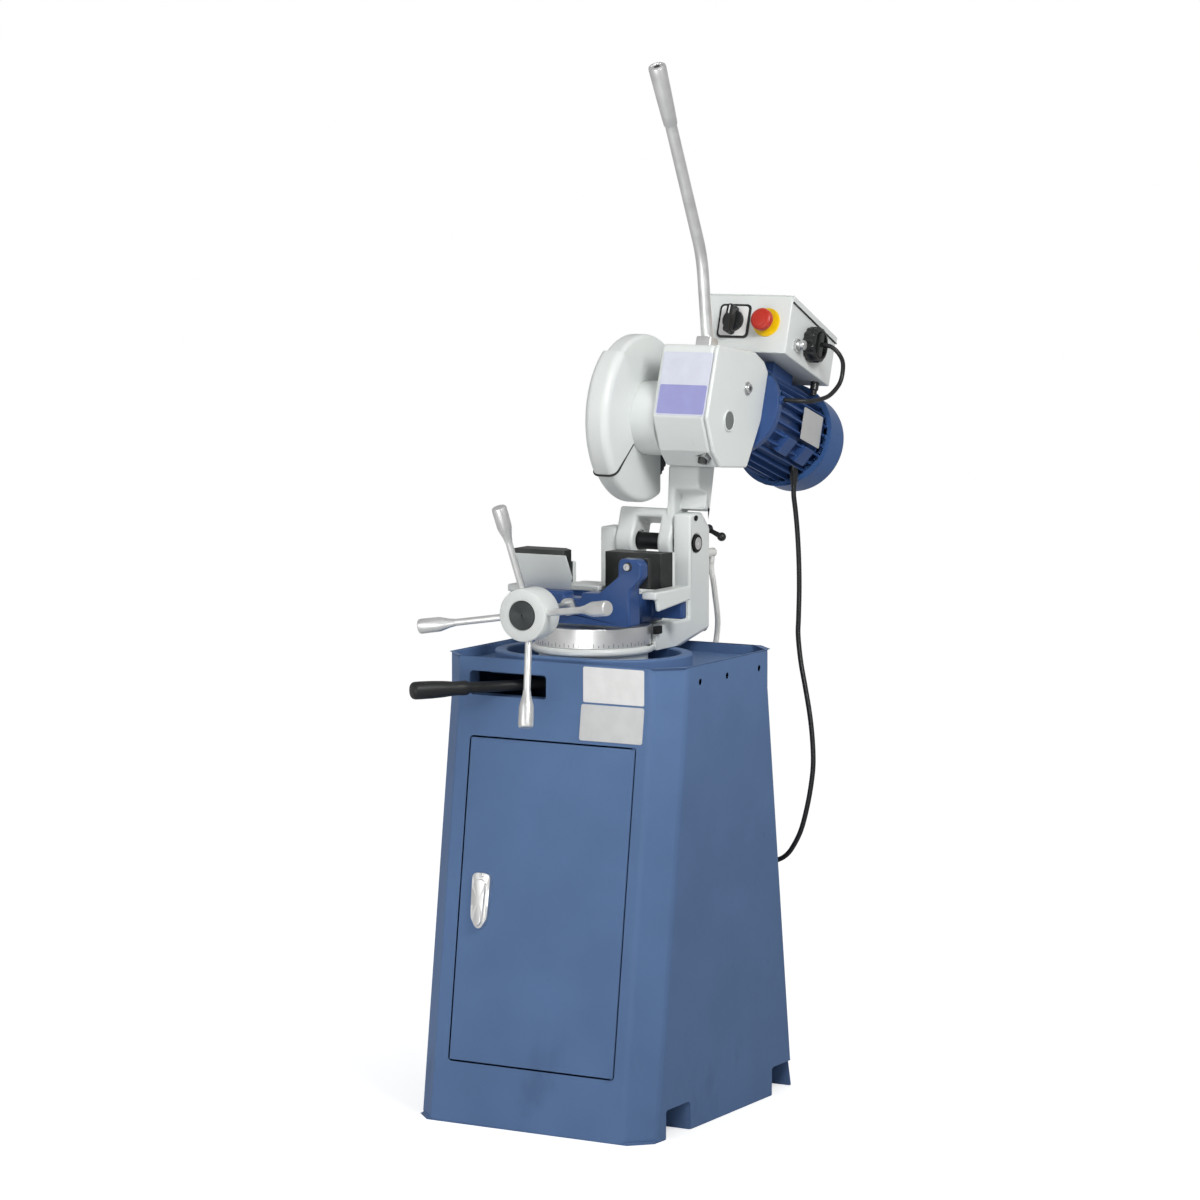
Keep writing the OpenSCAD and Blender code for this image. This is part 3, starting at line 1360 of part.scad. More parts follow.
module fan_cover() color(blue) at_motor() difference() {
    rod_y(motor_y1 - back_shield, motor_y2, cover_r);
    rod_y(motor_y1 - back_shield - over, motor_y2 - cover_wall, cover_r - cover_wall);
    for (i = [0:grille_count - 1]) rotate([0, 360 * i / grille_count, 0])
        translate([grille_ring, 0, 0]) rod_y(motor_y1, motor_y2 + over, grille_r);
}
module control_box() color(cast) in_head() difference() {
    side(ctrl_x0, ctrl_x1) ctrl_side(0);
    side(ctrl_x0 + ctrl_t, ctrl_x1 - ctrl_t) ctrl_side(ctrl_t);
    translate([stop_x, 0, stop_v]) rod_y(ctrl_y0 - over, ctrl_y0 + ctrl_t + over, stop_stem_r + fit);
}
module control_lid() color(cast) in_head() {
    side(ctrl_x0, ctrl_x1) polygon([[ctrl_y0, ctrl_v1], [ctrl_y0, ctrl_v1 + ctrl_t],
        [ctrl_y1, ctrl_v1 - ctrl_top_drop + ctrl_t], [ctrl_y1, ctrl_v1 - ctrl_top_drop]]);
    for (x = [ctrl_x0 - ctrl_t, ctrl_x1]) side(x, x + ctrl_t) polygon([[ctrl_y0, ctrl_v1 + ctrl_t],
        [ctrl_y0, ctrl_v1 - lid_lip],
        [ctrl_y1, ctrl_v1 - ctrl_top_drop - lid_lip], [ctrl_y1, ctrl_v1 - ctrl_top_drop + ctrl_t]]);
}
module switch_plates() {
    color("white") switch_square();
    color("gold") stop_disc();
}
module switch_square() in_head()
    box([switch_x - switch_s / 2, ctrl_y0 - switch_t, switch_v - switch_s / 2],
        [switch_x + switch_s / 2, ctrl_y0, switch_v + switch_s / 2]);
module switch_knob() color(dark) in_head() translate([switch_x, ctrl_y0 - switch_t - ease, switch_v]) {
    rod_y(-knob_base_h, 0, knob_base_r);
    box([-knob_bar_w / 2, -knob_h, -knob_bar_l / 2], [knob_bar_w / 2, -knob_base_h, knob_bar_l / 2]);
}
module stop_disc() in_head() translate([stop_x, ctrl_y0, stop_v]) difference() {
    rod_y(-stop_disc_t, 0, stop_disc_r);
    rod_y(-stop_disc_t - over, over, stop_stem_r + fit);
}
module stop_button() color("crimson") in_head() translate([stop_x, ctrl_y0 - stop_disc_t - stop_gap,
    stop_v]) {
    rod_y(0, stop_gap + stop_disc_t + ctrl_t, stop_stem_r);
    rod_y(-stop_head_t, 0, stop_head_r);
}
module head_fittings() color(dark) {
    gearbox_plugs();
    in_head() {
        translate([ctrl_x1, plug_y, plug_v]) side(0, round_t) ribbed(round_ribs, round_r, round_rib);
        translate([ctrl_x1, fit_y, fit_v]) {
            rod_x(0, fit_t, fit_r);
            rotate([0, 90, 0]) cylinder(h = fit_hex_t, r = fit_hex_r, $fn = 6);
        }
        difference() {
            translate([under_x, under_y, 0]) rod_z(ctrl_v0 - under_len, ctrl_v0, under_r);
            side(ctrl_x0, ctrl_x1) ctrl_side(0);
        }
    }
    difference() {
        translate([motor_gland_x, motor_gland_y, 0]) rod_z(motor_gland_low, motor_gland_top, motor_gland_r);
        at_motor() rod_y(motor_y0, motor_y2, fin_tip_r + fit);
    }
}
module plug_cable() color(dark) tube_along(plug_pts, thin_r);
module cable_upper() color(dark) tube_along(top_pts, cable_r);
module cable_lower() color(dark) tube_along(low_pts, cable_r);
module lever_tube(r, from, to) in_head() translate([hand_x, hand_y, stub_v]) rotate([stub_lean, 0, 0])
    translate([0, 0, stub_len]) rotate([upper_lean - stub_lean, 0, 0]) rod_z(from, to, r);
module hand_lever() color(steel) {
    in_head() difference() {
        union() {
            translate([hand_x, hand_y, 0]) box([-hand_nut / 2, -hand_nut / 2, hand_v - hand_nut_h],
                [hand_nut / 2, hand_nut / 2, stub_v + hand_nut_h / 2]);
            translate([hand_x, hand_y, stub_v]) rotate([stub_lean, 0, 0]) {
                rod_z(0, stub_len, tube_r);
                translate([0, 0, stub_len]) sphere(tube_r);
            }
        }
        side(box_x0 - over, box_x1) gear_outline();
    }
    lever_tube(tube_r, 0, upper_len - grip_lip);
}
module lever_grip() color(steel) difference() {
    lever_tube(hand_grip_r, upper_len - hand_grip_len, upper_len);
    lever_tube(tube_r + fit, 0, upper_len + over);
}
module pie(a0, a1) polygon(concat([[0, 0]], [for (i = [0:sector_steps])
    let (a = a0 + (a1 - a0) * i / sector_steps) -2 * shell_r * [cos(a), sin(a)]]));
module drum(x0, x1, r, round) translate([x0, 0, 0]) rotate([0, 90, 0]) rotate_extrude() {
    square([r - round, x1 - x0]);
    translate([0, round]) square([r, x1 - x0 - 2 * round]);
    translate([r - round, round]) circle(round);
    translate([r - round, x1 - x0 - round]) circle(round);
}
module guard_piece(r, x0, x1, a0, a1, bore, round) difference() {
    intersection() {
        drum(x0, x1, r, round);
        side(x0 - over, x1 + over) pie(a0, a1);
    }
    drum(x0 + guard_t, x1 - guard_t, r - guard_t, round - guard_t);
    rod_x(x1 - guard_t - over, x1 + over, bore);
    rod_x(x0 - over, x0 + guard_t + over, clamp_flange_r);
}
module guard_dome() color(cast) at_arbor() guard_piece(dome_r, dome_left, dome_x1, dome_a0, dome_a1,
    nose_r + fit, dome_round);
module guard_shell() color(cast) at_arbor() guard_piece(shell_r, shell_x0, shell_x1, shell_a0,
    shell_a1, nose_r + clear, guard_round);
module guard_lower() color(cast) at_arbor() intersection() {
    guard_piece(lower_r, lower_x0, lower_x1, lower_a0, lower_a0 + 2 * (lower_a1 - lower_a0),
        nose_r + clear, lower_round);
    box([lower_x0 - over, -reach, -reach], [lower_x1 + over, lower_back, reach]);
}
stand_cabinet();
stand_floor();
stand_tray();
tray_collar();
coolant_tank();
coolant_pump();
stand_glands();
door_panel();
door_brackets();
latch_body();
latch_handle();
latch_button();
pedestal_hub();
scale_ring();
lock_stud();
lock_lever();
lock_grip();
vise_base();
vise_bed();
vise_nut();
fixed_jaws();
jaw_carriage();
moving_jaws();
arm_bolt();
splash_plate();
vise_screw();
wheel_hub();
wheel_cap();
wheel_spokes();
wheel_grips();
swivel_column();
column_fittings();
hinge_shaft();
clamp_lever();
coolant_hose();
head_arm();
gearbox_housing();
gearbox_cover();
head_plates();
arbor();
arbor_bearings();
saw_blade();
worm_wheel();
motor_rotor();
motor_body();
fan_cover();
control_box();
control_lid();
switch_plates();
switch_knob();
stop_button();
head_fittings();
plug_cable();
cable_upper();
cable_lower();
hand_lever();
lever_grip();
guard_dome();
guard_shell();
guard_lower();
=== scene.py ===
# %% [markdown]
# # A cold saw on its cabinet stand
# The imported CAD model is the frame: every body, joint and overall size comes from it. This script
# dresses that frame. Castings get rounded edges, turned and bent pieces get smooth surfaces, and
# each finish is a small node tree. Lengths are millimetres, as in the CAD source, unless a comment
# says metres. They become metres where a mesh is made, because Blender works in metres here.

# %% Load the frame
import json
import math

import bmesh
import bpy
import numpy as np
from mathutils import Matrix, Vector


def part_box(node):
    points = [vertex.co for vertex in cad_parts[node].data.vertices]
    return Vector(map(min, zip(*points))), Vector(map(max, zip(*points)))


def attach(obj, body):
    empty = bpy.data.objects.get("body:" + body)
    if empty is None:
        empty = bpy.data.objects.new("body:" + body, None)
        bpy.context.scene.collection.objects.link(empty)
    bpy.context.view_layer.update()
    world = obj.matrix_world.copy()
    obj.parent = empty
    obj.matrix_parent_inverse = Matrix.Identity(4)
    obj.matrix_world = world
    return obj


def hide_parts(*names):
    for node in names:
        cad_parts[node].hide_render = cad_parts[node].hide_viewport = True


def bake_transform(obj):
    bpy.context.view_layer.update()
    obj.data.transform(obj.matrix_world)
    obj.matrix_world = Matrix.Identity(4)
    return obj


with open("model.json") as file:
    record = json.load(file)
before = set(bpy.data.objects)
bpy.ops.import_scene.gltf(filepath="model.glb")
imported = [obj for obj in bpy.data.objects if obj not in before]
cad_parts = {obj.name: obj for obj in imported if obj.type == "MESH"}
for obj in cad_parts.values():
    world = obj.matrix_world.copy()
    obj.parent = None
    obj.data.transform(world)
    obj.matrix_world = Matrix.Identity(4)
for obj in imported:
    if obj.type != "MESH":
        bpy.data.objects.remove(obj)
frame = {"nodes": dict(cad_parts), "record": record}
nodes = frame["nodes"]
bodies = frame["record"]["behaviour"]["bodies"]
body_of = {node: body for body, members in bodies.items() for node in members}
MM = 0.001
X_WAY, Y_WAY, Z_WAY = np.eye(3)
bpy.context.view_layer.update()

# %% [markdown]
# ## The camera
# The photograph was taken from well back with a long lens, from the right of the front and
# slightly above. The numbers come from fitting points of the stand to their pixels. The lens is
# the fitted focal length in pixels, carried over to a 36 mm wide sensor.

# %% Camera
AIM, DISTANCE = np.array((-18.6, -10.7, 887.1)), 7476.8
AZIMUTH, PITCH = math.radians(29.82), math.radians(6.27)
FOCAL_PIXELS, FRAME_PIXELS, SENSOR = 4279.0, 1200, 36.0
CLIP_END = 60    # metres
look = np.array((-math.sin(AZIMUTH) * math.cos(PITCH), math.cos(AZIMUTH) * math.cos(PITCH),
                 -math.sin(PITCH)))
lens = bpy.data.cameras.new("camera")
lens.sensor_fit, lens.sensor_width = "HORIZONTAL", SENSOR
lens.lens, lens.clip_end = FOCAL_PIXELS * SENSOR / FRAME_PIXELS, CLIP_END
camera = bpy.data.objects.new("camera", lens)
camera.location = (AIM - look * DISTANCE) * MM
camera.rotation_euler = (math.radians(90) - PITCH, 0, AZIMUTH)
bpy.context.scene.collection.objects.link(camera)
bpy.context.scene.camera = camera
print("lens:", round(lens.lens, 1), "mm")

# %% [markdown]
# ## Writing materials as sums
# A finish is a node tree, and a tree is easier to read as arithmetic. `Wire` stands for one socket
# and turns Python's operators into Math nodes. `Finish` holds the tree, adds any other node by its
# type, and mixes colours through the Mix node, because a Math node would make them grey.

# %% Wires
class Wire:
    """A socket. An operator on it adds a Math node and gives that node's output."""

    def __init__(self, finish, socket):
        self.finish, self.socket = finish, socket

    def math(self, operation, *values):
        return self.finish.node("Math", {"operation": operation}, values)

    def __add__(self, other):
        return self.math("ADD", self, other)

    def __radd__(self, other):
        return self.math("ADD", other, self)

    def __sub__(self, other):
        return self.math("SUBTRACT", self, other)

    def __rsub__(self, other):
        return self.math("SUBTRACT", other, self)

    def __mul__(self, other):
        return self.math("MULTIPLY", self, other)

    def __rmul__(self, other):
        return self.math("MULTIPLY", other, self)

    def rise(self, low, high):
        """0 below low, 1 above high, and a smooth step between."""
        return self.finish.node("MapRange", {"interpolation_type": "SMOOTHSTEP"},
                                {"Value": self, "From Min": low, "From Max": high})


# %% Finishes
# The Mix node's colour sockets share their names with its number sockets, so they go by place.
MIX_SHARE, MIX_A, MIX_B, MIX_RESULT = 0, 6, 7, 2


class Finish:
    """A material with a Principled shader whose sockets take numbers, colours or wires."""

    def __init__(self, name):
        self.material = bpy.data.materials.new(name)
        self.material.use_nodes = True
        self.tree = self.material.node_tree
        self.shader = self.tree.nodes["Principled BSDF"]
        self.place = self.node("TexCoord", out="Object")

    def node(self, kind, settings=None, values=(), out=0):
        """Add a node: set its settings first, then its sockets, and give one output as a wire."""
        made = self.tree.nodes.new("ShaderNode" + kind)
        for key, value in (settings or {}).items():
            setattr(made, key, value)
        pairs = values.items() if isinstance(values, dict) else enumerate(values)
        for key, value in pairs:
            self.put(made.inputs[key], value)
        return Wire(self, made.outputs[out])

    def put(self, socket, value):
        if isinstance(value, Wire):
            self.tree.links.new(value.socket, socket)
        else:
            socket.default_value = value

    def noise(self, scale, detail, stretch=None):
        """Noise with about `scale` lumps to the metre, drawn out by `stretch` on each axis."""
        where = self.place
        if stretch:
            where = self.node("Mapping", values={"Vector": where, "Scale": stretch})
        return self.node("TexNoise", values={"Vector": where, "Scale": scale, "Detail": detail})

    def mix(self, share, a, b):
        sockets = {MIX_SHARE: share, MIX_A: a, MIX_B: b}
        return self.node("Mix", {"data_type": "RGBA"}, sockets, out=MIX_RESULT)

    def height(self):
        """The height above the floor, in metres."""
        return self.node("SeparateXYZ", values={"Vector": self.place}, out="Z")

    def bump(self, height, strength, distance):
        """A bump up to `distance` metres deep."""
        return self.node("Bump",
                         values={"Height": height, "Strength": strength, "Distance": distance})

    def set(self, **sockets):
        for key, value in sockets.items():
            self.put(self.shader.inputs[key.replace("_", " ")], value)
        return self


def tone(code, gain=1.0):
    """A colour written as it looks on screen, such as 5b759d, as linear light by the sRGB curve."""
    screen = np.array([int(code[i:i + 2], 16) for i in (0, 2, 4)]) / 255
    linear = np.where(screen <= 0.04045, screen / 12.92, ((screen + 0.055) / 1.055) ** 2.4)
    return (*(float(v) for v in np.clip(linear * gain, 0, 1)), 1.0)


print("5b759d in linear light:", [round(v, 3) for v in tone("5b759d")])

# %% [markdown]
# ## Paint
# The stand is sprayed sheet steel, the motor and vise are castings in a deeper blue, and the saw's
# castings and covers are light grey. All have the faint pebble of sprayed enamel, clouds of
# slightly different tone, and duller patches where hands and chips rub. The stand's foot is also
# kicked darker in places. One recipe makes them all, and its numbers say how coarse the metal
# below is and how much the paint shines.

# %% Paint finishes
RUB_SHARE, RUB_TONE, RUB_DULL = 0.12, 0.76, 0.14
KICK_SHARE, KICK_TONE, KICK_STRETCH = 0.34, 0.5, (1.0, 1.0, 0.55)
CLOUD_DULL, FINE_SHARE, COAT_ROUGHNESS = 0.05, 0.25, 0.1


def paint(name, code, pebble, roughness, shift=0.05, kicked=None, shine=0.2, coat=0.03):
    """Enamel: tone clouds a hand wide, specks of wear, and a pebble `pebble` metres deep.
    `kicked` is the span of heights, in metres, over which kick marks fade out."""
    f = Finish(name)
    clouds = f.noise(scale=7, detail=4)
    rub = f.noise(scale=60, detail=6).rise(0.6, 0.76)
    colour = f.mix(clouds.rise(0.3, 0.7), tone(code, 1 - shift), tone(code, 1 + shift))
    colour = f.mix(rub * RUB_SHARE, colour, tone(code, RUB_TONE))
    if kicked:
        low = 1 - f.height().rise(*kicked)
        marks = f.noise(scale=11, detail=6, stretch=KICK_STRETCH).rise(0.57, 0.75)
        colour = f.mix(low * marks * KICK_SHARE, colour, tone(code, KICK_TONE))
    grain = f.noise(scale=420, detail=2) + f.noise(scale=2400, detail=2) * FINE_SHARE
    f.set(Base_Color=colour, Roughness=roughness + rub * RUB_DULL + clouds * CLOUD_DULL,
          Normal=f.bump(grain, strength=0.35, distance=pebble))
    f.set(Coat_Weight=coat, Coat_Roughness=COAT_ROUGHNESS, Specular_IOR_Level=shine)
    return f.material


blue_paint = paint("stand_blue", "5b759d", pebble=0.0002, roughness=0.42, kicked=(0.04, 0.34),
                   shine=0.06, coat=0.02)
deep_blue_paint = paint("motor_blue", "304c7e", pebble=0.0005, roughness=0.26, shift=0.08,
                        shine=0.25)
cover_blue_paint = paint("cover_blue", "3a5a8c", pebble=0.0003, roughness=0.3)
grey_paint = paint("casting_grey", "d6dad8", pebble=0.00035, roughness=0.3, shift=0.02,
                   shine=0.4, coat=0.12)
print("paints:", blue_paint.name, deep_blue_paint.name, cover_blue_paint.name, grey_paint.name)

# %% [markdown]
# ## Metal
# Bare metal differs mostly by how it was worked. Turned and ground pieces carry fine lines, so the
# noise is drawn out along the piece, and zinc and black oxide are cloudier. A metal's colour is its
# reflection, so these stay pale and let the roughness do the work.

# %% Metal finishes
LINE_DULL, SHEEN_DULL, BRIGHTER = 0.12, 0.1, 0.5


def metal(name, code, roughness, stretch, depth=0.00006, wear=0.12):
    """Worked metal: lines `depth` metres deep, drawn out by `stretch`, and a cloudy brightness."""
    f = Finish(name)
    lines = f.noise(scale=700, detail=3, stretch=stretch)
    clouds = f.noise(scale=35, detail=5)
    colour = f.mix(clouds.rise(0.3, 0.75), tone(code, 1 - wear), tone(code, 1 + wear * BRIGHTER))
    f.set(Base_Color=colour, Metallic=1.0, Normal=f.bump(lines, strength=0.25, distance=depth),
          Roughness=roughness + lines * LINE_DULL + clouds * SHEEN_DULL)
    return f.material


satin_aluminium = metal("satin_aluminium", "eeefee", 0.3, stretch=(1, 1, 0.08), wear=0.1)
pale_alloy = metal("pale_alloy", "efefee", 0.27, stretch=(1, 1, 0.3), wear=0.04)
bright_steel = metal("bright_steel", "dcdddd", 0.2, stretch=(0.2, 1, 1), wear=0.06)
black_steel = metal("black_steel", "353637", 0.4, stretch=(1, 0.3, 1), wear=0.2)
jaw_iron = metal("jaw_iron", "4e504f", 0.38, stretch=(0.15, 1, 1), depth=0.0001, wear=0.18)
bronze = metal("bronze", "b58a4a", 0.33, stretch=(1, 0.2, 1), wear=0.2)
dark_alloy = metal("dark_alloy", "545858", 0.42, stretch=(1, 1, 1), wear=0.1)
print("metals:", satin_aluminium.name, bright_steel.name, jaw_iron.name)

# %% [markdown]
# ## Plastic and rubber
# Moulded pieces have a fine, even spark-eroded grain. The black ones are never pure black, because
# the grain scatters some light, and rubber is duller than hard plastic.

# %% Plastic finishes
PLASTIC_SHINE, PLASTIC_DULL = 0.45, 0.08


def plastic(name, code, roughness, grain=0.00012, scale=1500):
    """Moulded plastic: an even grain `grain` metres deep and a slight unevenness of gloss."""
    f = Finish(name)
    fine, broad = f.noise(scale, detail=2), f.noise(scale=40, detail=4)
    colour = f.mix(broad.rise(0.35, 0.7), tone(code, 0.97), tone(code, 1.03))
    f.set(Base_Color=colour, Roughness=roughness + broad * PLASTIC_DULL,
          Normal=f.bump(fine, strength=0.3, distance=grain), Specular_IOR_Level=PLASTIC_SHINE)
    return f.material


black_plastic = plastic("black_plastic", "202122", 0.22)
black_rubber = plastic("black_rubber", "191a1b", 0.42, grain=0.0002, scale=900)
black_cable = plastic("black_cable", "17181a", 0.4, grain=0.0001, scale=900)
red_plastic = plastic("red_plastic", "b42a1b", 0.3)
yellow_plastic = plastic("yellow_plastic", "ecc40a", 0.32)
white_plastic = plastic("white_plastic", "e4e4e3", 0.34)
plate_grey = plastic("plate_grey", "cbcccc", 0.4, grain=0.00003)
glass_grey = plastic("glass_grey", "696e6d", 0.16, grain=0.00002)
pale_hose = plastic("pale_hose", "dcdcd8", 0.35, grain=0.0001, scale=600)
violet_film = plastic("violet_film", "9394c4", 0.3, grain=0.00003)
lilac_film = plastic("lilac_film", "c9ccd8", 0.3, grain=0.00003)
# The black finish below is painted shade, the dark of the lid seam and of the filler's socket.
painted_shade_black = plastic("painted_shade_black", "141516", 0.5)
print("plastics:", black_plastic.name, pale_hose.name, lilac_film.name)

# %% [markdown]
# ## Closed surfaces from rings
# Nearly every new piece is a row of rings: a turned knob is rings round an axis, a tube is rings
# along a path, and a plate is a rounded outline at several heights. One function joins the rings
# with quads and closes both ends with a fan to the ring's middle, so every piece is watertight.

# %% Rings
def loft(rings):
    """rings[i, j] is point j of ring i. Quads join ring i to i + 1; a fan closes each end."""
    rings = np.asarray(rings, float)
    m, n, _ = rings.shape
    i, j = np.meshgrid(np.arange(m - 1), np.arange(n), indexing="ij")
    a, b = i * n + j, i * n + (j + 1) % n
    quads = np.stack([a, b, b + n, a + n], -1).reshape(-1, 4)
    k, after = np.arange(n), (np.arange(n) + 1) % n
    first = np.stack([np.full(n, m * n), after, k], -1)
    last = np.stack([np.full(n, m * n + 1), (m - 1) * n + k, (m - 1) * n + after], -1)
    points = np.vstack([rings.reshape(-1, 3), rings[:1].mean(1), rings[-1:].mean(1)])
    return points, quads.tolist() + first.tolist() + last.tolist()


def aside(axis):
    """The unit axis, and two unit vectors square to it and to each other."""
    axis = np.asarray(axis, float) / np.linalg.norm(axis)
    seed = np.eye(3)[np.argmin(np.abs(axis))]
    u = np.cross(axis, seed)
    u /= np.linalg.norm(u)
    return axis, u, np.cross(axis, u)


print("a loft of two squares:", len(loft(np.zeros((2, 4, 3)))[1]), "faces")

# %% [markdown]
# ## Turned pieces and tubes
# A lathe profile is the plainest way to give a knob or a screw, because the drawing of a turned
# piece is just such a list of lengths and radii. A bar with six sides is the same with few sides.
# A tube needs rings square to a path, and the path is a smooth curve through a few chosen points.

# %% Lathe, path and tube
TINY, STEPS = 0.01, 6


def turned(profile, start, axis, sides=48):
    """A lathe: each (distance along, radius) of the profile is a circle round the axis."""
    axis, u, v = aside(axis)
    along, radius = np.asarray(profile, float).T
    turn = np.linspace(0, 2 * np.pi, sides, endpoint=False)
    circle = np.cos(turn)[:, None] * u + np.sin(turn)[:, None] * v
    centre = np.asarray(start, float) + along[:, None] * axis
    return loft(centre[:, None] + np.maximum(radius, TINY)[:, None, None] * circle[None])


def smooth_path(points, steps=STEPS):
    """A smooth curve: between two points, a cubic with slopes half the neighbours' difference."""
    p = np.asarray(points, float)
    p = np.vstack([2 * p[:1] - p[1:2], p, 2 * p[-1:] - p[-2:-1]])
    t = np.linspace(0, 1, steps, endpoint=False)[None, :, None]
    a, b, c, d = (p[k:len(p) - 3 + k, None] for k in range(4))
    run = 0.5 * (2 * b + (c - a) * t + (2 * a - 5 * b + 4 * c - d) * t**2
                 + (3 * b - a - 3 * c + d) * t**3)
    return np.vstack([run.reshape(-1, p.shape[1]), p[-2:-1]])


def drawn(path, radius, sides=16):
    """A tube: circles square to the path, each frame the last one turned onto the new direction."""
    path = np.asarray(path, float)
    slope = np.gradient(path, axis=0)
    slope /= np.linalg.norm(slope, axis=1)[:, None]
    _, u, _ = aside(slope[0])
    us = []
    for d in slope:
        u = u - d * (u @ d)
        u = u / np.linalg.norm(u)
        us.append(u)
    us = np.array(us)
    vs = np.cross(slope, us)
    turn = np.linspace(0, 2 * np.pi, sides, endpoint=False)[None, :, None]
    radius = np.broadcast_to(np.asarray(radius, float), len(path))[:, None, None]
    return loft(path[:, None] + radius * (np.cos(turn) * us[:, None] + np.sin(turn) * vs[:, None]))


print("a tube of three rings:", len(drawn([(0, 0, 0), (0, 0, 1), (0, 0, 2)], 1)[1]), "faces")

# %% [markdown]
# ## Plates
# A plate, a square bar or a bit of folded sheet is one rounded outline, repeated at a few heights.
# The last rings draw in, which rounds the front edge so that it catches the light.

# %% Rounded plates
STEP_UP, ROUND_SHARE, FACE_INSET, FACE_SHARE, LEAST_CORNER = 0.05, 0.3, 0.8, 0.3, 0.2


def rounded_outline(width, height, corner, arc=6):
    """A rectangle with round corners, anticlockwise: four quarter circles of `arc` points."""
    turn = np.linspace(0, np.pi / 2, arc)[None] + np.arange(4)[:, None] * np.pi / 2
    half = np.array((width, height)) / 2 - corner
    middle = np.array([(1, 1), (-1, 1), (-1, -1), (1, -1)]) * half
    return (middle[:, None] + corner * np.stack([np.cos(turn), np.sin(turn)], -1)).reshape(-1, 2)


def plate(width, height, corner, thick, edge, middle, across, up):
    """A plate: its outline at the back, at the rim, drawn in by `edge` in front, and inside that.
    Its five sizes are width, height, corner radius, thickness and edge rounding. `middle` is the
    middle of its back, and the front looks along the cross product of across and up."""
    across, up = np.asarray(across, float), np.asarray(up, float)
    out = np.cross(across, up)
    inside = min(edge + FACE_INSET, FACE_SHARE * min(width, height))
    levels = ((0, 0), (STEP_UP * thick, 0), (thick - edge, 0),
              (thick - edge * ROUND_SHARE, edge * ROUND_SHARE), (thick, edge), (thick, inside))
    rings = []
    for rise, inset in levels:
        line = rounded_outline(width - 2 * inset, height - 2 * inset,
                               max(corner - inset, LEAST_CORNER))
        rings.append(np.asarray(middle) + rise * out + line[:, :1] * across + line[:, 1:] * up)
    return loft(rings)


print("an outline:", len(rounded_outline(20, 10, 2)), "points")

# %% [markdown]
# ## From surface to piece
# A piece is one object, and it may hold several closed shells, such as four spokes. Its points go
# into the mesh where they belong, so the object itself stays at the origin. Each piece then rides
# on its body, if it has one, takes its finish, and hides the CAD nodes it stands for.

# %% Adding a piece
def add_piece(name, shells, finish, body, stands_for=(), crease=32):
    """One object from closed shells, smooth except over edges sharper than `crease` degrees.
    A cord that bends between two bodies has no `body` of its own."""
    points, faces, base = [], [], 0
    for shell_points, shell_faces in shells:
        points.append(shell_points)
        faces += [[k + base for k in face] for face in shell_faces]
        base += len(shell_points)
    mesh = bpy.data.meshes.new(name)
    mesh.from_pydata((np.vstack(points) * MM).tolist(), [], faces)
    form = bmesh.new()
    form.from_mesh(mesh)
    bmesh.ops.recalc_face_normals(form, faces=form.faces)
    form.to_mesh(mesh)
    form.free()
    mesh.shade_smooth()
    mesh.set_sharp_from_angle(angle=math.radians(crease))
    piece = bpy.data.objects.new(name, mesh)
    bpy.context.scene.collection.objects.link(piece)
    mesh.materials.append(finish)
    if body:
        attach(piece, body)
    if stands_for:
        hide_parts(*stands_for)
    print(f"{name}: {len(faces)} faces")
    return piece


# %% [markdown]
# ## The cords
# Two cables and a hose are seen in the photograph. The motor cable leaves the motor, hangs in a
# long bow and goes into the back of the stand. It crosses the head hinge and the swivel, so it is
# drawn as one curve and cut in two at a point by the column. The round plug's cable only rides on
# the head, and the coolant hose runs from the column to the stand. The two cut halves and the hose
# belong to no body; their places are baked into their meshes. The route points are those of the
# CAD source.

# %% Cord routes
HOSE = [(88, 201, 939.7), (88, 201, 926), (89, 204, 914), (89, 208, 902), (88, 213, 890),
        (87, 218, 876), (86, 224, 862), (85, 229, 848), (83, 235, 834), (80, 240, 820),
        (77, 243, 806), (75, 242, 791), (73, 235, 778), (72, 224, 769), (72, 212, 764),
        (72, 204, 764), (72, 196.3, 764)]
CABLE_TOP = [(169, 362, 1066), (169, 362, 1050), (171, 366, 1020), (174, 368, 980), (178, 366, 930),
             (182, 360, 880), (185, 352, 830)]
CABLE_LOW = [(185, 352, 830), (186.8, 347.3, 800.4), (196, 340, 755), (210, 331, 710),
             (223, 323, 665), (233, 315, 620), (239, 307, 575), (238, 300, 535), (231, 298, 495),
             (220, 297, 455), (204, 296.7, 423.9), (191, 295.7, 407.9), (176, 294.7, 398.9),
             (160, 291.7, 394.9), (146, 283.7, 393.9), (136, 270.7, 394.9), (132, 256.6, 395.6),
             (132, 244.7, 393.9)]
PLUG_LEAD = [(237, 336, 1324), (243, 336, 1324), (257, 337, 1320), (268, 341, 1309),
             (273, 347, 1294), (272, 349, 1276), (271, 342, 1259), (269, 327, 1246),
             (266, 308, 1236), (264, 288, 1232), (261, 268, 1230), (257, 248, 1229),
             (245, 234, 1230), (229, 230, 1231), (217, 230, 1231)]
HOSE_R, CABLE_R, LEAD_R = 5, 4.5, 4
motor_cable = smooth_path(CABLE_TOP + CABLE_LOW[1:])
cut = (len(CABLE_TOP) - 1) * STEPS
print("motor cable:", len(motor_cable), "points, cut at", cut)


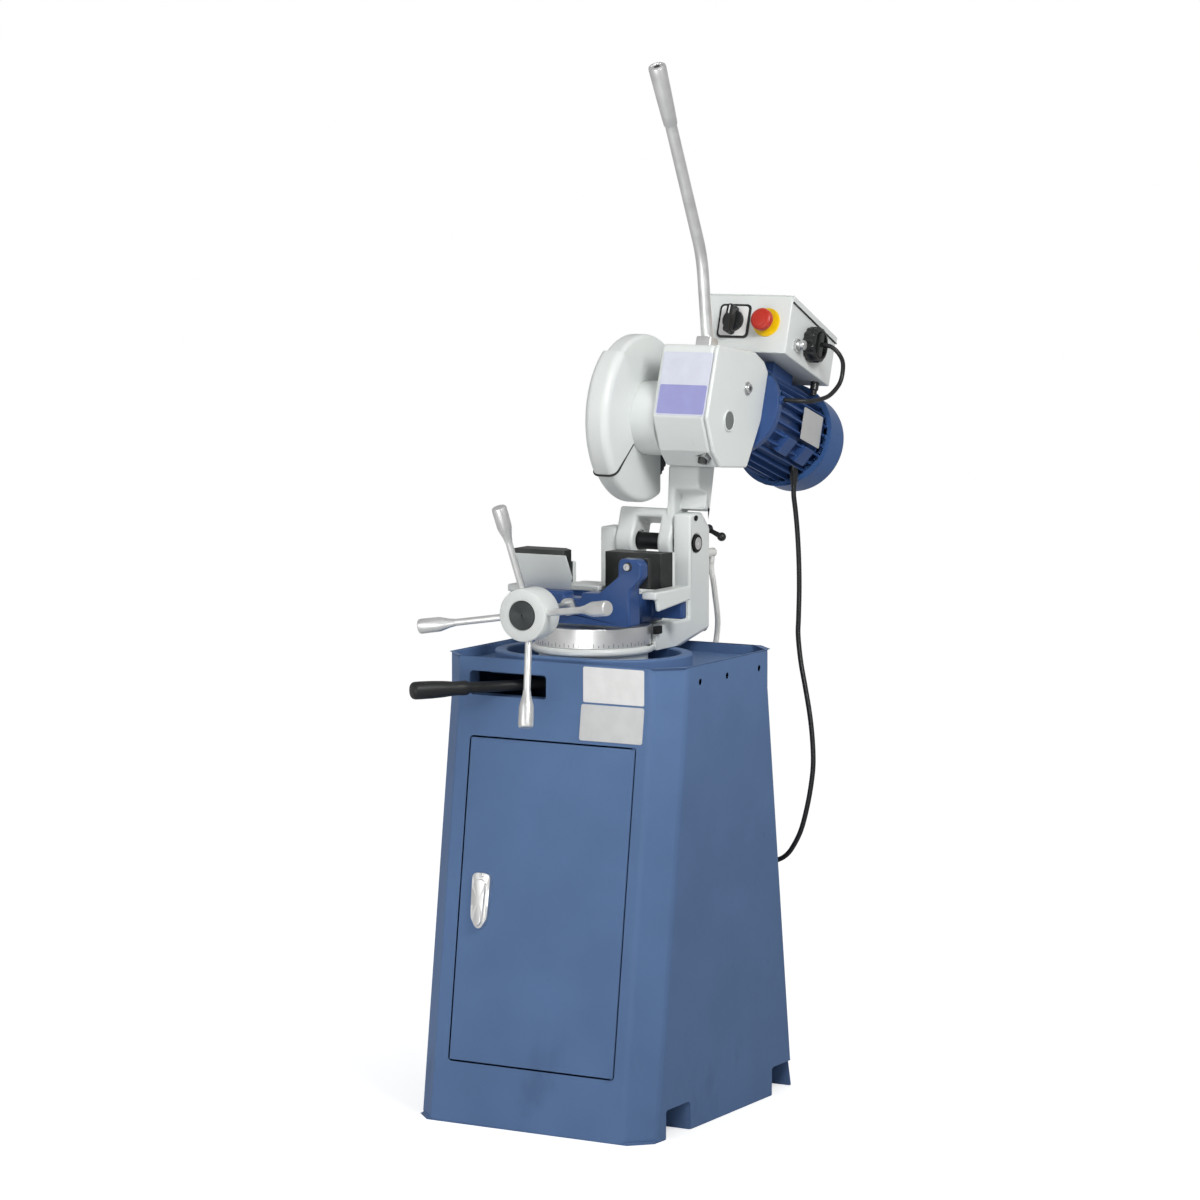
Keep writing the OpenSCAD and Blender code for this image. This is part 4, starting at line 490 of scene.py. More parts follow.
# %% Cords
def add_cord(name, path, radius, finish, body=None, blend=None):
    """A tube along `path`, which replaces the CAD node `name` and rides on `body` if one is given.
    `blend` gives the two bodies it runs between and two points; when it is given, the tube's
    placement is only baked into its mesh."""
    piece = add_piece(name + "_drawn", [drawn(path, radius)], finish, body, (name,),
                      crease=60)
    if blend:
        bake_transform(piece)


add_cord("coolant_hose", smooth_path(HOSE), HOSE_R, pale_hose,
         blend=("stand", "column", (72, 224, 769), (88, 201, 926)))
add_cord("cable_upper", motor_cable[:cut + 1], CABLE_R, black_cable,
         blend=("column", "head", (185, 352, 830), (169, 362, 1060)))
add_cord("cable_lower", motor_cable[cut:], CABLE_R, black_cable,
         blend=("stand", "column", (204, 297, 424), (185, 352, 830)))
add_cord("plug_cable", smooth_path(PLUG_LEAD), LEAD_R, black_cable, body="head")

# %% [markdown]
# ## Castings with rounded edges
# A casting or a folded sheet never has a knife edge, and the light along a rounded edge is what
# makes it read as metal. The CAD nodes have sharp edges, so a copy of each is merged, its flat
# faces are joined, and a Bevel rounds the sharp edges. A wide bevel would overrun a thin sheet, so
# each edge gets its own width: a share of the room its faces and its neighbours leave. The guards
# are thin shells with a rounded section already, so they are only smoothed.

# %% Rounded copies
SHARP, COPLANAR, CREASE = math.radians(24), math.radians(0.6), math.radians(34)
MERGE, SHORTEST = 2e-5, 1e-6    # metres
ROOM_SHARE, IN_LINE, SEGMENTS = 0.4, 0.8, 3
THIN_SHELLS = ("guard_shell", "guard_lower", "guard_dome")


def edge_room(edge, sharp):
    """The room beside an edge, in metres: the least of its faces' depths, which are area over
    length, and of the lengths of the sharp edges that turn away at its ends."""
    room = min(f.calc_area() / max(edge.calc_length(), SHORTEST) for f in edge.link_faces)
    along = (edge.verts[1].co - edge.verts[0].co).normalized()
    for v in edge.verts:
        for other in v.link_edges:
            if other is not edge and other in sharp:
                way = (other.other_vert(v).co - v.co).normalized()
                if abs(way.dot(along)) < IN_LINE:
                    room = min(room, other.calc_length())
    return room


def rounded(name, width, finish):
    """A copy of CAD node `name` with edges rounded by up to `width`, which replaces the node."""
    mesh = nodes[name].data.copy()
    mesh.materials.clear()
    form = bmesh.new()
    form.from_mesh(mesh)
    bmesh.ops.remove_doubles(form, verts=form.verts, dist=MERGE)
    bmesh.ops.dissolve_limit(form, angle_limit=COPLANAR, verts=form.verts, edges=form.edges)
    weight = form.edges.layers.float.new("bevel_weight_edge")
    sharp = {e for e in form.edges if len(e.link_faces) == 2 and e.calc_face_angle(0) > SHARP}
    for e in sharp:
        e[weight] = min(1.0, ROOM_SHARE * edge_room(e, sharp) / (width * MM))
    form.to_mesh(mesh)
    form.free()
    mesh.shade_smooth()
    mesh.set_sharp_from_angle(angle=CREASE)
    piece = bpy.data.objects.new(name + "_cast", mesh)
    bpy.context.scene.collection.objects.link(piece)
    mesh.materials.append(finish)
    if name not in THIN_SHELLS:
        bevel = piece.modifiers.new("edges", "BEVEL")
        bevel.width, bevel.segments, bevel.limit_method = width * MM, SEGMENTS, "WEIGHT"
        bevel.use_clamp_overlap, bevel.harden_normals = False, False
    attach(piece, body_of[name])
    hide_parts(name)
    return piece


# %% Which nodes are rounded, and how much
ROUNDED = [
    (blue_paint, "blue_paint",
     {"stand_cabinet": 7, "stand_tray": 2, "tray_collar": 3, "door_panel": 2}),
    (deep_blue_paint, "deep_blue_paint", {"vise_base": 3, "jaw_carriage": 4, "motor_body": 1.5}),
    (cover_blue_paint, "blue_paint", {"fan_cover": 9}),
    (grey_paint, "grey_paint",
     {"pedestal_hub": 3, "vise_bed": 3, "swivel_column": 5, "head_arm": 5, "gearbox_housing": 6,
      "gearbox_cover": 5, "control_box": 2.5, "control_lid": 2.5, "guard_shell": 3,
      "guard_lower": 2, "guard_dome": 2, "splash_plate": 0.6}),
    (jaw_iron, "jaw_iron", {"fixed_jaws": 1, "moving_jaws": 1}),
    (pale_alloy, "satin_aluminium", {"scale_ring": 1}),
    (black_steel, "black_steel", {"column_fittings": 1}),
    (black_plastic, "black_plastic", {"stand_glands": 1.5}),
]
copies = {node: rounded(node, width, finish)
          for finish, slot, widths in ROUNDED for node, width in widths.items()}
print("rounded copies:", len(copies))

# %% [markdown]
# ## The hose elbow
# The elbow that the coolant hose fits into shares a CAD node with the column's black fittings, but
# it is pale like the hose. It is told from them by its place, behind and above, and its faces take
# the second finish of the copy.

# %% Hose elbow
ELBOW_BACK, ELBOW_LOW = 172.2, 930
fittings = copies["column_fittings"].data
fittings.materials.append(pale_hose)
pale_faces = [face for face in fittings.polygons
              if face.center.y > ELBOW_BACK * MM and face.center.z > ELBOW_LOW * MM]
for face in pale_faces:
    face.material_index = 1
print("elbow faces:", len(pale_faces))

# %% [markdown]
# ## Nodes that stay as they are
# Pieces inside the machine, and plain round bars, are already the right shape, so they keep their
# CAD mesh and only get a finish. The arm bolt also gets a black ring of painted shade round
# its seat.

# %% Finishes of the kept nodes
KEPT = {
    "stand_floor": blue_paint, "door_brackets": blue_paint, "coolant_tank": satin_aluminium,
    "coolant_pump": black_plastic, "latch_button": satin_aluminium, "lock_stud": bright_steel,
    "vise_nut": bronze, "vise_screw": bright_steel, "hinge_shaft": black_steel,
    "arbor": bright_steel, "arbor_bearings": bright_steel, "saw_blade": jaw_iron,
    "worm_wheel": bronze, "motor_rotor": bright_steel, "arm_bolt": bright_steel,
}
for name, finish in KEPT.items():
    nodes[name].data.materials.clear()
    nodes[name].data.materials.append(finish)
print("kept nodes:", len(KEPT))

# %% Arm bolt ring
BOLT_RING = [(-0.5, 6.1), (-0.5, 7.8), (0.2, 8.2), (0.2, 6.1)]
bolt_low, bolt_high = (np.array(c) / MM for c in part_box("arm_bolt"))
bolt_seat = (bolt_low + bolt_high) / 2 * (1, 0, 1) + bolt_high * (0, 1, 0)
# The black ring round the bolt's seat is painted shade, the dark of the gap there.
add_piece("arm_bolt_ring", [turned(BOLT_RING, bolt_seat, Y_WAY, sides=36)], black_plastic,
          body_of["arm_bolt"])

# %% [markdown]
# ## The head's own frame
# The head leans back by 18 degrees, and its pieces are square to that lean. A point given across,
# back and up in the head is turned about the arbor's axis to its place in the row frame.

# %% Head frame
ARBOR, TILT = np.array((0.0, 86.0, 1202.0)), math.radians(18)
HEAD = np.array(((1, 0, 0), (0, math.cos(TILT), math.sin(TILT)),
                 (0, -math.sin(TILT), math.cos(TILT))))


def in_head(*point):
    """ARBOR plus the point turned back by the head's lean."""
    return ARBOR + HEAD @ np.array(point, float)


def head_way(*way):
    """A direction in the head, turned with it."""
    return HEAD @ np.array(way, float)


across, back, up = head_way(1, 0, 0), head_way(0, 1, 0), head_way(0, 0, 1)
print("up in the head:", up.round(3))

# %% [markdown]
# ## The hand lever
# The lever is a steel tube bent once, with a turned grip that swells to its end. The tube is drawn
# along its two straight runs with a round bend between, which is a parabola that leaves each run
# along its own line. The grip is a lathe profile, and the hole in its end is a black disc of
# painted shade.

# %% Hand lever
LEVER_FOOT, NUT_AT, NUT = (127, -18, 138), (127, -18, 112), (30, 30, 3, 30, 2)
LOW_LEAN, HIGH_LEAN = math.radians(26), math.radians(44.4)
STUB, UPPER, BEND, SUNK, STRAIGHT, TUBE_SHORT, TUBE_R = 148, 365, 34, 12, 40, 8, 10.3
low_way = head_way(0, -math.sin(LOW_LEAN), math.cos(LOW_LEAN))
high_way = head_way(0, -math.sin(HIGH_LEAN), math.cos(HIGH_LEAN))
foot = in_head(*LEVER_FOOT)
elbow = foot + STUB * low_way
share = np.linspace(0, 1, 13)[:, None]
bend = ((1 - share) ** 2 * (elbow - BEND * low_way) + 2 * share * (1 - share) * elbow
        + share**2 * (elbow + BEND * high_way))
lever_path = np.vstack([foot - SUNK * low_way, foot + STRAIGHT * low_way, bend,
                        elbow + (UPPER - TUBE_SHORT) * high_way])
nut = plate(*NUT, in_head(*NUT_AT), across, back)
add_piece("lever_tube", [drawn(lever_path, TUBE_R, sides=28), nut], satin_aluminium, "head",
          ("hand_lever",))

# %% Lever grip
GRIP_LENGTH = 112
GRIP = [(0, 10.5), (0, 11.2), (2, 12.0), (22, 13.0), (60, 14.2), (96, 15.2), (107, 15.5),
        (110.5, 14.8), (112, 13.2), (112, 10.2), (110, 9.6), (110, 0)]
GRIP_HOLE = [(110.6, 0), (110.6, 5), (109, 5), (109, 0)]
grip_start = elbow + (UPPER - GRIP_LENGTH) * high_way
add_piece("lever_handle", [turned(GRIP, grip_start, high_way)], satin_aluminium, "head",
          ("lever_grip",))
# The black disc in the grip's end is painted shade, the dark of a hole.
add_piece("lever_end", [turned(GRIP_HOLE, grip_start, high_way, sides=20)], black_plastic, "head")

# %% [markdown]
# ## The vise wheel
# Four raked spokes are screwed into a fat turned hub, and each ends in a grip that flares and then
# runs straight to a rounded end. The dark cap shows the rings of its turning. All are lathe
# profiles on their own axes.

# %% Wheel hub and cap
SCREW_Z, WHEEL_Y, WHEEL_SIDES = 890, -308, 72
HUB = [(3, 0), (3, 25), (0.4, 25.4), (0, 26), (0, 42.6), (0.7, 44.2), (2.4, 45), (48.6, 45),
       (50.3, 44.2), (51, 42.6), (51, 0)]
hub_face = (0, WHEEL_Y, SCREW_Z)
add_piece("wheel_boss", [turned(HUB, hub_face, Y_WAY, WHEEL_SIDES)], grey_paint, "handwheel",
          ("wheel_hub",))
PITCH_OF_RINGS, OUTER_RING, INNER_RING, CREST, ROOT = 2.6, 24.0, 3.0, -1.5, -1.0
ring_radius = np.arange(OUTER_RING, INNER_RING, -PITCH_OF_RINGS)
turning_marks = np.stack(
    [np.tile((CREST, ROOT), len(ring_radius)),
     np.repeat(ring_radius, 2) - np.tile((0, PITCH_OF_RINGS / 2), len(ring_radius))], -1)
CAP_RIM, CAP_CENTRE = [(2.8, 0), (2.8, 24.8), (-0.9, 24.8)], [(CREST, 1.6), (0.5, 1.2), (0.5, 0)]
cap = np.vstack([CAP_RIM, turning_marks, CAP_CENTRE])
add_piece("wheel_disc", [turned(cap, hub_face, Y_WAY, WHEEL_SIDES)], dark_alloy, "handwheel",
          ("wheel_cap",))

# %% Wheel spokes and knobs
HUB_MID, SPOKES, FIRST_SPOKE, RAKE = (0, -282.5, SCREW_Z), 4, 8, math.radians(17)
SPOKE = [(22, 0), (22, 6), (44, 6), (186, 6), (186, 0)]
KNOB = [(132, 6.2), (132, 6.5), (140, 7.6), (150, 10.4), (156, 12.0), (160, 12.6), (190, 13),
        (194, 12.2), (195.6, 10.4), (196, 8), (196, 0)]
spoke_ways = [(math.cos(RAKE) * math.cos(turn), -math.sin(RAKE), math.cos(RAKE) * math.sin(turn))
              for turn in np.radians(np.arange(SPOKES) * 360 / SPOKES + FIRST_SPOKE)]
spokes = [turned(SPOKE, HUB_MID, way, sides=24) for way in spoke_ways]
knobs = [turned(KNOB, HUB_MID, way, sides=36) for way in spoke_ways]
add_piece("wheel_bars", spokes, satin_aluminium, "handwheel", ("wheel_spokes",))
add_piece("wheel_knobs", knobs, satin_aluminium, "handwheel", ("wheel_grips",))

# %% [markdown]
# ## The swivel lock lever
# Under the tray a long black lever reaches out through a slot in the front. Its grip starts with a
# small lip, swells and ends in a round nose. Rod, eye and grip are lathe profiles. The slot's edges
# are folded inwards, so its inside shows as dark blue and not as a black hole.

# %% Lock lever
LOCK_AT, LOCK_ANGLE = (0, -66, 752), math.radians(37)
LOCK_ROD = [(12, 0), (12, 9.5), (286, 9.5), (286, 0)]
LOCK_EYE = [(-12, 10.2), (-12, 20), (-10, 22), (10, 22), (12, 20), (12, 10.2)]
LOCK_GRIP = [(234, 9.6), (234, 11.4), (237, 12.6), (246, 12.8), (252, 12.2), (262, 12.4),
             (280, 14.2), (300, 15.2), (322, 15.5), (331, 15.3), (335, 14.2), (337.4, 11.8),
             (338, 9), (338, 0)]
lock_way = (-math.sin(LOCK_ANGLE), -math.cos(LOCK_ANGLE), 0)
rod, eye = turned(LOCK_ROD, LOCK_AT, lock_way, sides=32), turned(LOCK_EYE, LOCK_AT, Z_WAY)
add_piece("lock_rod", [rod, eye], black_rubber, "lock", ("lock_lever",))
add_piece("lock_handle", [turned(LOCK_GRIP, LOCK_AT, lock_way)], black_rubber, "lock",
          ("lock_grip",))

# %% Slot folds
SLOT_LEFT, SLOT_RIGHT, SLOT_LOW, SLOT_HIGH = -170, -17, 733, 775
FOLD_Y, FOLD, SHEET, FOLD_EDGE = -197.9, 30, 2, 0.3
slot_x, slot_z = (SLOT_LEFT + SLOT_RIGHT) / 2, (SLOT_LOW + SLOT_HIGH) / 2
fold_y = FOLD_Y + FOLD / 2
slot_wide, slot_tall = SLOT_RIGHT - SLOT_LEFT, SLOT_HIGH - SLOT_LOW
folds = [plate(width, height, FOLD_EDGE, SHEET, FOLD_EDGE, middle, along, rise)
         for width, height, middle, along, rise in (
             (slot_wide, FOLD, (slot_x, fold_y, SLOT_LOW - SHEET), X_WAY, Y_WAY),
             (slot_wide, FOLD, (slot_x, fold_y, SLOT_HIGH + SHEET), X_WAY, -Y_WAY),
             (FOLD, slot_tall, (SLOT_LEFT - SHEET, fold_y, slot_z), Y_WAY, Z_WAY),
             (FOLD, slot_tall, (SLOT_RIGHT + SHEET, fold_y, slot_z), -Y_WAY, Z_WAY))]
add_piece("slot_folds", folds, blue_paint, "stand")

# %% [markdown]
# ## The clamp lever behind the column
# A short ball lever clamps the head's travel. Its stud is round and its bar swells into a ball,
# whose profile is an arc of a circle.

# %% Clamp lever
CLAMP, CLAMP_TILT, BAR_OUT = np.array((84.0, 172.0, 1000.0)), math.radians(24), (0, 22, 0)
STUD = [(0.2, 0), (0.2, 6), (14, 6), (15, 8), (28, 8), (30, 6.5), (30, 0)]
BAR = [(-31, 0), (-31, 4), (-29.5, 5), (-10, 5), (14, 4.2)]
BALL_AT, BALL_R, BALL_NECK = 31, 8, -0.9
bar_way = np.array((math.cos(CLAMP_TILT), 0, -math.sin(CLAMP_TILT)))
ball = [(BALL_AT + BALL_R * math.sin(a), BALL_R * math.cos(a))
        for a in np.linspace(BALL_NECK, math.pi / 2, 9)]
clamp_shells = [turned(STUD, CLAMP, Y_WAY, sides=28),
                turned(BAR + ball, CLAMP + BAR_OUT, bar_way, sides=28)]
add_piece("clamp_handle", clamp_shells, black_plastic, "clamp", ("clamp_lever",))

# %% [markdown]
# ## The switch panel
# The rotary switch has a white square plate with a round-cornered black border and a knob with a
# thick bar. The emergency stop is a red mushroom on a yellow disc. Plates are rounded outlines at
# several heights, and round pieces are turned.

# %% Switch and stop plates
CTRL_Y = 112
SWITCH_X, SWITCH_Z, STOP_X, STOP_Z = 103, 209, 168, 208
BORDER, WHITE, WHITE_OUT = (62, 62, 8, 3, 0.8), (54, 54, 6, 0.5, 0.2), 2.9
STOP_DISC = [(0, 12.2), (0, 26), (2, 26), (3, 25), (3, 12.2)]
out = head_way(0, -1, 0)
square = plate(*BORDER, in_head(SWITCH_X, CTRL_Y, SWITCH_Z), across, up)
add_piece("switch_square", [square], black_plastic, "head", ("switch_plates",))
white_square = plate(*WHITE, in_head(SWITCH_X, CTRL_Y - WHITE_OUT, SWITCH_Z), across, up)
add_piece("switch_face", [white_square], white_plastic, "head")
add_piece("stop_ring", [turned(STOP_DISC, in_head(STOP_X, CTRL_Y, STOP_Z), out)], yellow_plastic,
          "head")

# %% Switch knob and stop button
KNOB_BASE = [(0, 0), (0, 20), (6, 19.6), (8, 18), (8, 0)]
KNOB_BAR, KNOB_MARK = (13, 52, 6, 24, 2.5), (2.2, 15, 1, 0.5, 0.2)
KNOB_OUT, MARK_OUT, MARK_UP, STOP_OUT, SLANT = 3.3, 23.8, 15, 15, math.radians(3)
STOP = [(-17, 0), (-17, 11.8), (0, 11.8), (0, 18.5), (1.5, 20), (8, 20), (11, 19), (13, 16.4),
        (13.6, 14), (13.1, 12.8), (13.4, 11.6), (14, 8), (14, 0)]
knob_at = in_head(SWITCH_X, CTRL_Y - KNOB_OUT, SWITCH_Z)
bar_up = math.cos(SLANT) * up + math.sin(SLANT) * across
bar_across = math.cos(SLANT) * across - math.sin(SLANT) * up
knob_bar = plate(*KNOB_BAR, knob_at, bar_across, bar_up)
add_piece("switch_handle", [turned(KNOB_BASE, knob_at, out), knob_bar], black_plastic, "switch",
          ("switch_knob",))
mark_at = knob_at + MARK_OUT * out + MARK_UP * bar_up
knob_mark = plate(*KNOB_MARK, mark_at, bar_across, bar_up)
add_piece("switch_mark", [knob_mark], white_plastic, "switch")
add_piece("stop_head", [turned(STOP, in_head(STOP_X, CTRL_Y - STOP_OUT, STOP_Z), out)],
          red_plastic, "stop", ("stop_button",))

# %% [markdown]
# ## Bare plates
# The gearbox carries a film plate in two tones, the motor a small metal plate, and the front of the
# stand two plates one above the other. They are plain here: each has its colour and its round
# corners, and the lower one on the stand has four small rivets. Thin plates keep their own rounded
# edge, so they stand off the sheet in the light instead of looking painted on.

# %% Plates on the head
GEAR_X, FILM_Y, FILM_Z, BAND_Z, BAND_Y = 127.5, -76, 44, 16, -76.8
MOTOR_X, MOTOR_R, MOTOR_TAG_Y, MOTOR_TAG_Z = 127, 86, 254, 54
FILM, BAND, MOTOR_TAG = (97, 114, 5, 0.9, 0.3), (92, 52, 3, 0.4, 0.15), (76, 58, 3, 1, 0.3)
film = plate(*FILM, in_head(GEAR_X, FILM_Y, FILM_Z), across, up)
add_piece("gearbox_film", [film], lilac_film, "head", ("head_plates",))
band = plate(*BAND, in_head(GEAR_X, BAND_Y, BAND_Z), across, up)
add_piece("gearbox_band", [band], violet_film, "head")
motor_side = in_head(MOTOR_X + MOTOR_R, MOTOR_TAG_Y, MOTOR_TAG_Z)
motor_plate = plate(*MOTOR_TAG, motor_side, back, up)
add_piece("motor_tag", [motor_plate], pale_alloy, "head")

# %% Plates on the stand
FRONT_BASE, SLOPE = -301.0, math.radians(7.8666)
CARD, CARD_AT = (119, 61, 3, 0.7, 0.25), (116.5, -199.9, 765)
TAG, TAG_X, TAG_RISE, TAG_LIFT = (123, 62, 4, 0.9, 0.3), 115, 707, -0.1
RIVET = [(0, 0), (0, 2.2), (0.7, 1.8), (1.1, 0.9), (1.2, 0)]
RIVET_X, RIVET_RISE, RIVET_LIFT = 57, 26, 0.7
face_up = np.array((0, math.sin(SLOPE), math.cos(SLOPE)))
face_out = np.array((0, -math.cos(SLOPE), math.sin(SLOPE)))


def on_face(x, rise, lift=0.0):
    """A point on the stand's leaning front: across, up along the sheet, and off the sheet."""
    return np.array((x, FRONT_BASE, 0)) + rise * face_up + lift * face_out


card = plate(*CARD, CARD_AT, X_WAY, Z_WAY)
add_piece("stand_card", [card], white_plastic, "stand")
tag = plate(*TAG, on_face(TAG_X, TAG_RISE, TAG_LIFT), X_WAY, face_up)
rivets = [turned(RIVET, on_face(TAG_X + x, TAG_RISE + rise, RIVET_LIFT), face_out, sides=16)
          for x in (-RIVET_X, RIVET_X) for rise in (-RIVET_RISE, RIVET_RISE)]
add_piece("stand_tag", [tag, *rivets], plate_grey, "stand")

# %% [markdown]
# ## The door latch
# The latch is a die-cast plate with a long handle folded into it. Both are long drops in outline,
# so each is a closed smooth curve through a few half widths, mirrored, and raised in rounded steps.

# %% Door latch
LATCH_X, LATCH_RISE, DROP_STEPS = -118, 415, 5
PLATE_HALF = [(0, 20), (9, 19.4), (15, 17), (17.8, 11), (18, -4), (17.4, -36), (16, -57), (11, -67),
              (6, -74), (0, -76.5)]
HANDLE_HALF = [(0, 9), (6.5, 7.4), (10.4, 2), (11, -8), (10.4, -36), (9, -58), (6, -68), (0, -72)]
PLATE_LEVELS = ((-0.2, 0), (5.6, 0), (6.6, 0.4), (7, 1.2))
HANDLE_LEVELS = ((7.2, 0), (10.6, 0.2), (11.8, 0.8), (12.2, 2))


def drop_shape(half, levels):
    """A raised drop: the curve through (half width, height), mirrored, and drawn in towards its
    middle by the inset of each (lift, inset)."""
    right = np.array(half, float)
    mirrored = right[-2:0:-1] * (-1, 1)
    line = smooth_path(np.vstack([right, mirrored, right[:1]]), DROP_STEPS)[:-1]
    middle = line.mean(0)
    reach = np.linalg.norm(line - middle, axis=1)[:, None]
    rings = []
    for lift, inset in levels:
        ring = middle + (line - middle) * (1 - inset / reach)
        rings.append(on_face(LATCH_X, LATCH_RISE, lift) + ring[:, :1] * X_WAY
                     + ring[:, 1:] * face_up)
    return loft(rings)


latch_plate = drop_shape(PLATE_HALF, PLATE_LEVELS)
add_piece("latch_plate", [latch_plate], pale_alloy, body_of["latch_body"],
          ("latch_body",))
add_piece("latch_blade", [drop_shape(HANDLE_HALF, HANDLE_LEVELS)], pale_alloy,
          body_of["latch_handle"], ("latch_handle",))
print("latch:", round(float(np.ptp(latch_plate[0][:, 2]))), "mm tall")

# %% [markdown]
# ## Fittings on the head
# Small fittings tell a machine from a model of one. The round plug on the switch box has a ribbed
# ring, which is a circle whose radius swings with the angle. The two cable glands and the drain
# screw are turned, with six sides for a hexagon.

# %% Round plug, glands and drain
PLUG_AT, RIBS, RIB_MEAN, RIB_SWING, RIB_CRISP = in_head(213, 200, 193), 14, 30.8, 1.2, 2.5
PLUG_LEVELS = [(0, 0.95), (2, 1), (19, 1), (21.6, 0.97), (22.6, 0.9), (22.6, 0.8), (16, 0.76),
               (16, 0.2)]
SMOOTH_R, RIBBED_UP_TO = 30, 20
UNDER_GLAND = [(0, 0), (0, 5.2), (9, 6), (11, 7.6), (22, 7.6), (24, 8), (34, 8), (34, 0)]
DROP_GLAND = [(0, 0), (0, 5), (10, 5.8), (13, 7.4), (26, 7.4), (27, 8), (44, 8), (44, 0)]
DRAIN = [(0, 0), (0, 7), (1, 8), (16, 8), (16, 0)]
PLUG_BAR, HEXAGON = (17, 47, 7, 23.6, 2.5), 6
UNDER_AT, DRAIN_AT = in_head(195, 276, 119), in_head(152, -14, -82)
turn = np.linspace(0, 2 * np.pi, 12 * RIBS, endpoint=False)
ribbed = RIB_MEAN + RIB_SWING * np.tanh(RIB_CRISP * np.cos(RIBS * turn))
smooth = np.full_like(turn, SMOOTH_R)
rim = np.cos(turn)[:, None] * back + np.sin(turn)[:, None] * up
plug_ring = loft([PLUG_AT + lift * across
                  + scale * (ribbed if lift < RIBBED_UP_TO else smooth)[:, None] * rim
                  for lift, scale in PLUG_LEVELS])
plug_bar = plate(*PLUG_BAR, PLUG_AT, back, up)
glands = [turned(UNDER_GLAND, UNDER_AT, up, sides=24),
          turned(DROP_GLAND, CABLE_TOP[0], Z_WAY, sides=24)]
drain = turned(DRAIN, DRAIN_AT, up, HEXAGON)
add_piece("head_plugs", [plug_ring, plug_bar, *glands, drain], black_plastic, "head",
          ("head_fittings",))

# %% [markdown]
# ## Bright fittings and the level glass
# A nickel gland with a few turns of thread and an oil filler with a hexagon socket sit on the
# head's side, and an oil level glass shows in a painted bezel on the arbor's line. All are lathe
# profiles. The thread is a row of ridges, which looks like a helix at this size.

# %% Nickel gland and filler
GLAND_AT, FILLER_AT = in_head(213, 148, 178), in_head(183, 49, 71)
GLAND_HEX = [(0, 0), (0, 12), (5.4, 12), (6, 11.4), (6, 0)]
RIDGES, LEAD, RIDGE_START, RIDGE_R, VALLEY_START, VALLEY_R = 4, 1.4, 6, 7.6, 6.7, 6.9
NOSE_FOOT = [(5, 0), (5, 7.2)]
NOSE_END = [(11.6, 7.2), (11.6, 8.8), (17, 8.8), (18.6, 7.6), (19.8, 5.4), (20, 0)]
FILLER = [(0, 0), (0, 12), (1.6, 12), (2, 11.5), (2, 8), (6.4, 8), (7, 7.4), (7, 4.4), (4, 4.2),
          (4, 0)]
FILLER_SOCKET = [(4, 0), (4, 4), (4.4, 4), (4.4, 0)]
thread = [point for k in range(RIDGES)
          for point in ((RIDGE_START + LEAD * k, RIDGE_R), (VALLEY_START + LEAD * k, VALLEY_R))]
bright_shells = [turned(GLAND_HEX, GLAND_AT, across, HEXAGON),
                 turned(NOSE_FOOT + thread + NOSE_END, GLAND_AT, across, sides=36),
                 turned(FILLER, FILLER_AT, across, sides=36)]
add_piece("head_metal", bright_shells, bright_steel, "head")
# The black hexagon at the bottom of the filler's socket is painted shade, the dark of the hole.
add_piece("filler_socket", [turned(FILLER_SOCKET, FILLER_AT, across, HEXAGON)], painted_shade_black, "head")

# %% Level glass, painted shade in the lid seam, and shaft end
LEVEL_AT = in_head(183, 0, 0)
BEZEL = [(0, 15), (0, 19), (2.3, 19), (3, 18.3), (3, 17), (2, 16), (2, 15)]
PANE = [(0, 0), (0, 16.4), (2.1, 16.4), (2.5, 12), (2.6, 0)]
SEAM_SHADE_FRONT, SEAM_SHADE_BACK, SEAM_SHADE_R = in_head(214.8, 114, 246.2), in_head(214.8, 297, 221.6), 1.3
SHAFT_CAP_AT = (100, 124, 981)
SHAFT_END = [(2.8, 0), (2.8, 11), (3.6, 11), (4, 10.4), (4, 2.2), (3.2, 1.8), (3.2, 0)]
bezel, pane = (turned(profile, LEVEL_AT, across, sides=60) for profile in (BEZEL, PANE))
add_piece("level_bezel", [bezel], grey_paint, "head")
add_piece("level_pane", [pane], glass_grey, "head")
# A thin black tube along the lid seam is painted shade, the dark of the gap between box and lid.
seam_shade = drawn(np.linspace(SEAM_SHADE_FRONT, SEAM_SHADE_BACK, 4), SEAM_SHADE_R, sides=8)
add_piece("lid_seam_shade", [seam_shade], painted_shade_black, "head")
add_piece("shaft_face", [turned(SHAFT_END, SHAFT_CAP_AT, X_WAY, sides=40)], pale_alloy, "column")

# %% [markdown]
# ## The guard's rubber edge
# The front guard ends in a black rubber strip that follows its section: up one side, over the
# rounded rim and down the other. The section is drawn flat, as places across the saw and distances
# from the arbor, and a tube is drawn along it, thicker over the rim.

# %% Rubber edge
EDGE = math.radians(38.3)
SIDE_LEFT, SIDE_RIGHT, RIM_MIDDLE, RIM, RIM_R = -22, 25, 2, 152, 14
STRIP_FOOT, STRIP_KNEE, THICK_FROM, THICK_R, THIN_R = 70, 100, 130, 2.3, 1.3
turn = np.linspace(0, math.pi / 2, 7)
left_round = np.stack([SIDE_LEFT + RIM_R - RIM_R * np.cos(turn),
                       RIM - RIM_R + RIM_R * np.sin(turn)], -1)
right_round = np.stack([SIDE_RIGHT - RIM_R + RIM_R * np.sin(turn),
                        RIM - RIM_R + RIM_R * np.cos(turn)], -1)
section = np.vstack([[(SIDE_LEFT, STRIP_FOOT), (SIDE_LEFT, STRIP_KNEE)], left_round,
                     [(RIM_MIDDLE, RIM)], right_round,
                     [(SIDE_RIGHT, STRIP_KNEE), (SIDE_RIGHT, STRIP_FOOT)]])
edge_way = np.array((0, -math.cos(EDGE), -math.sin(EDGE)))
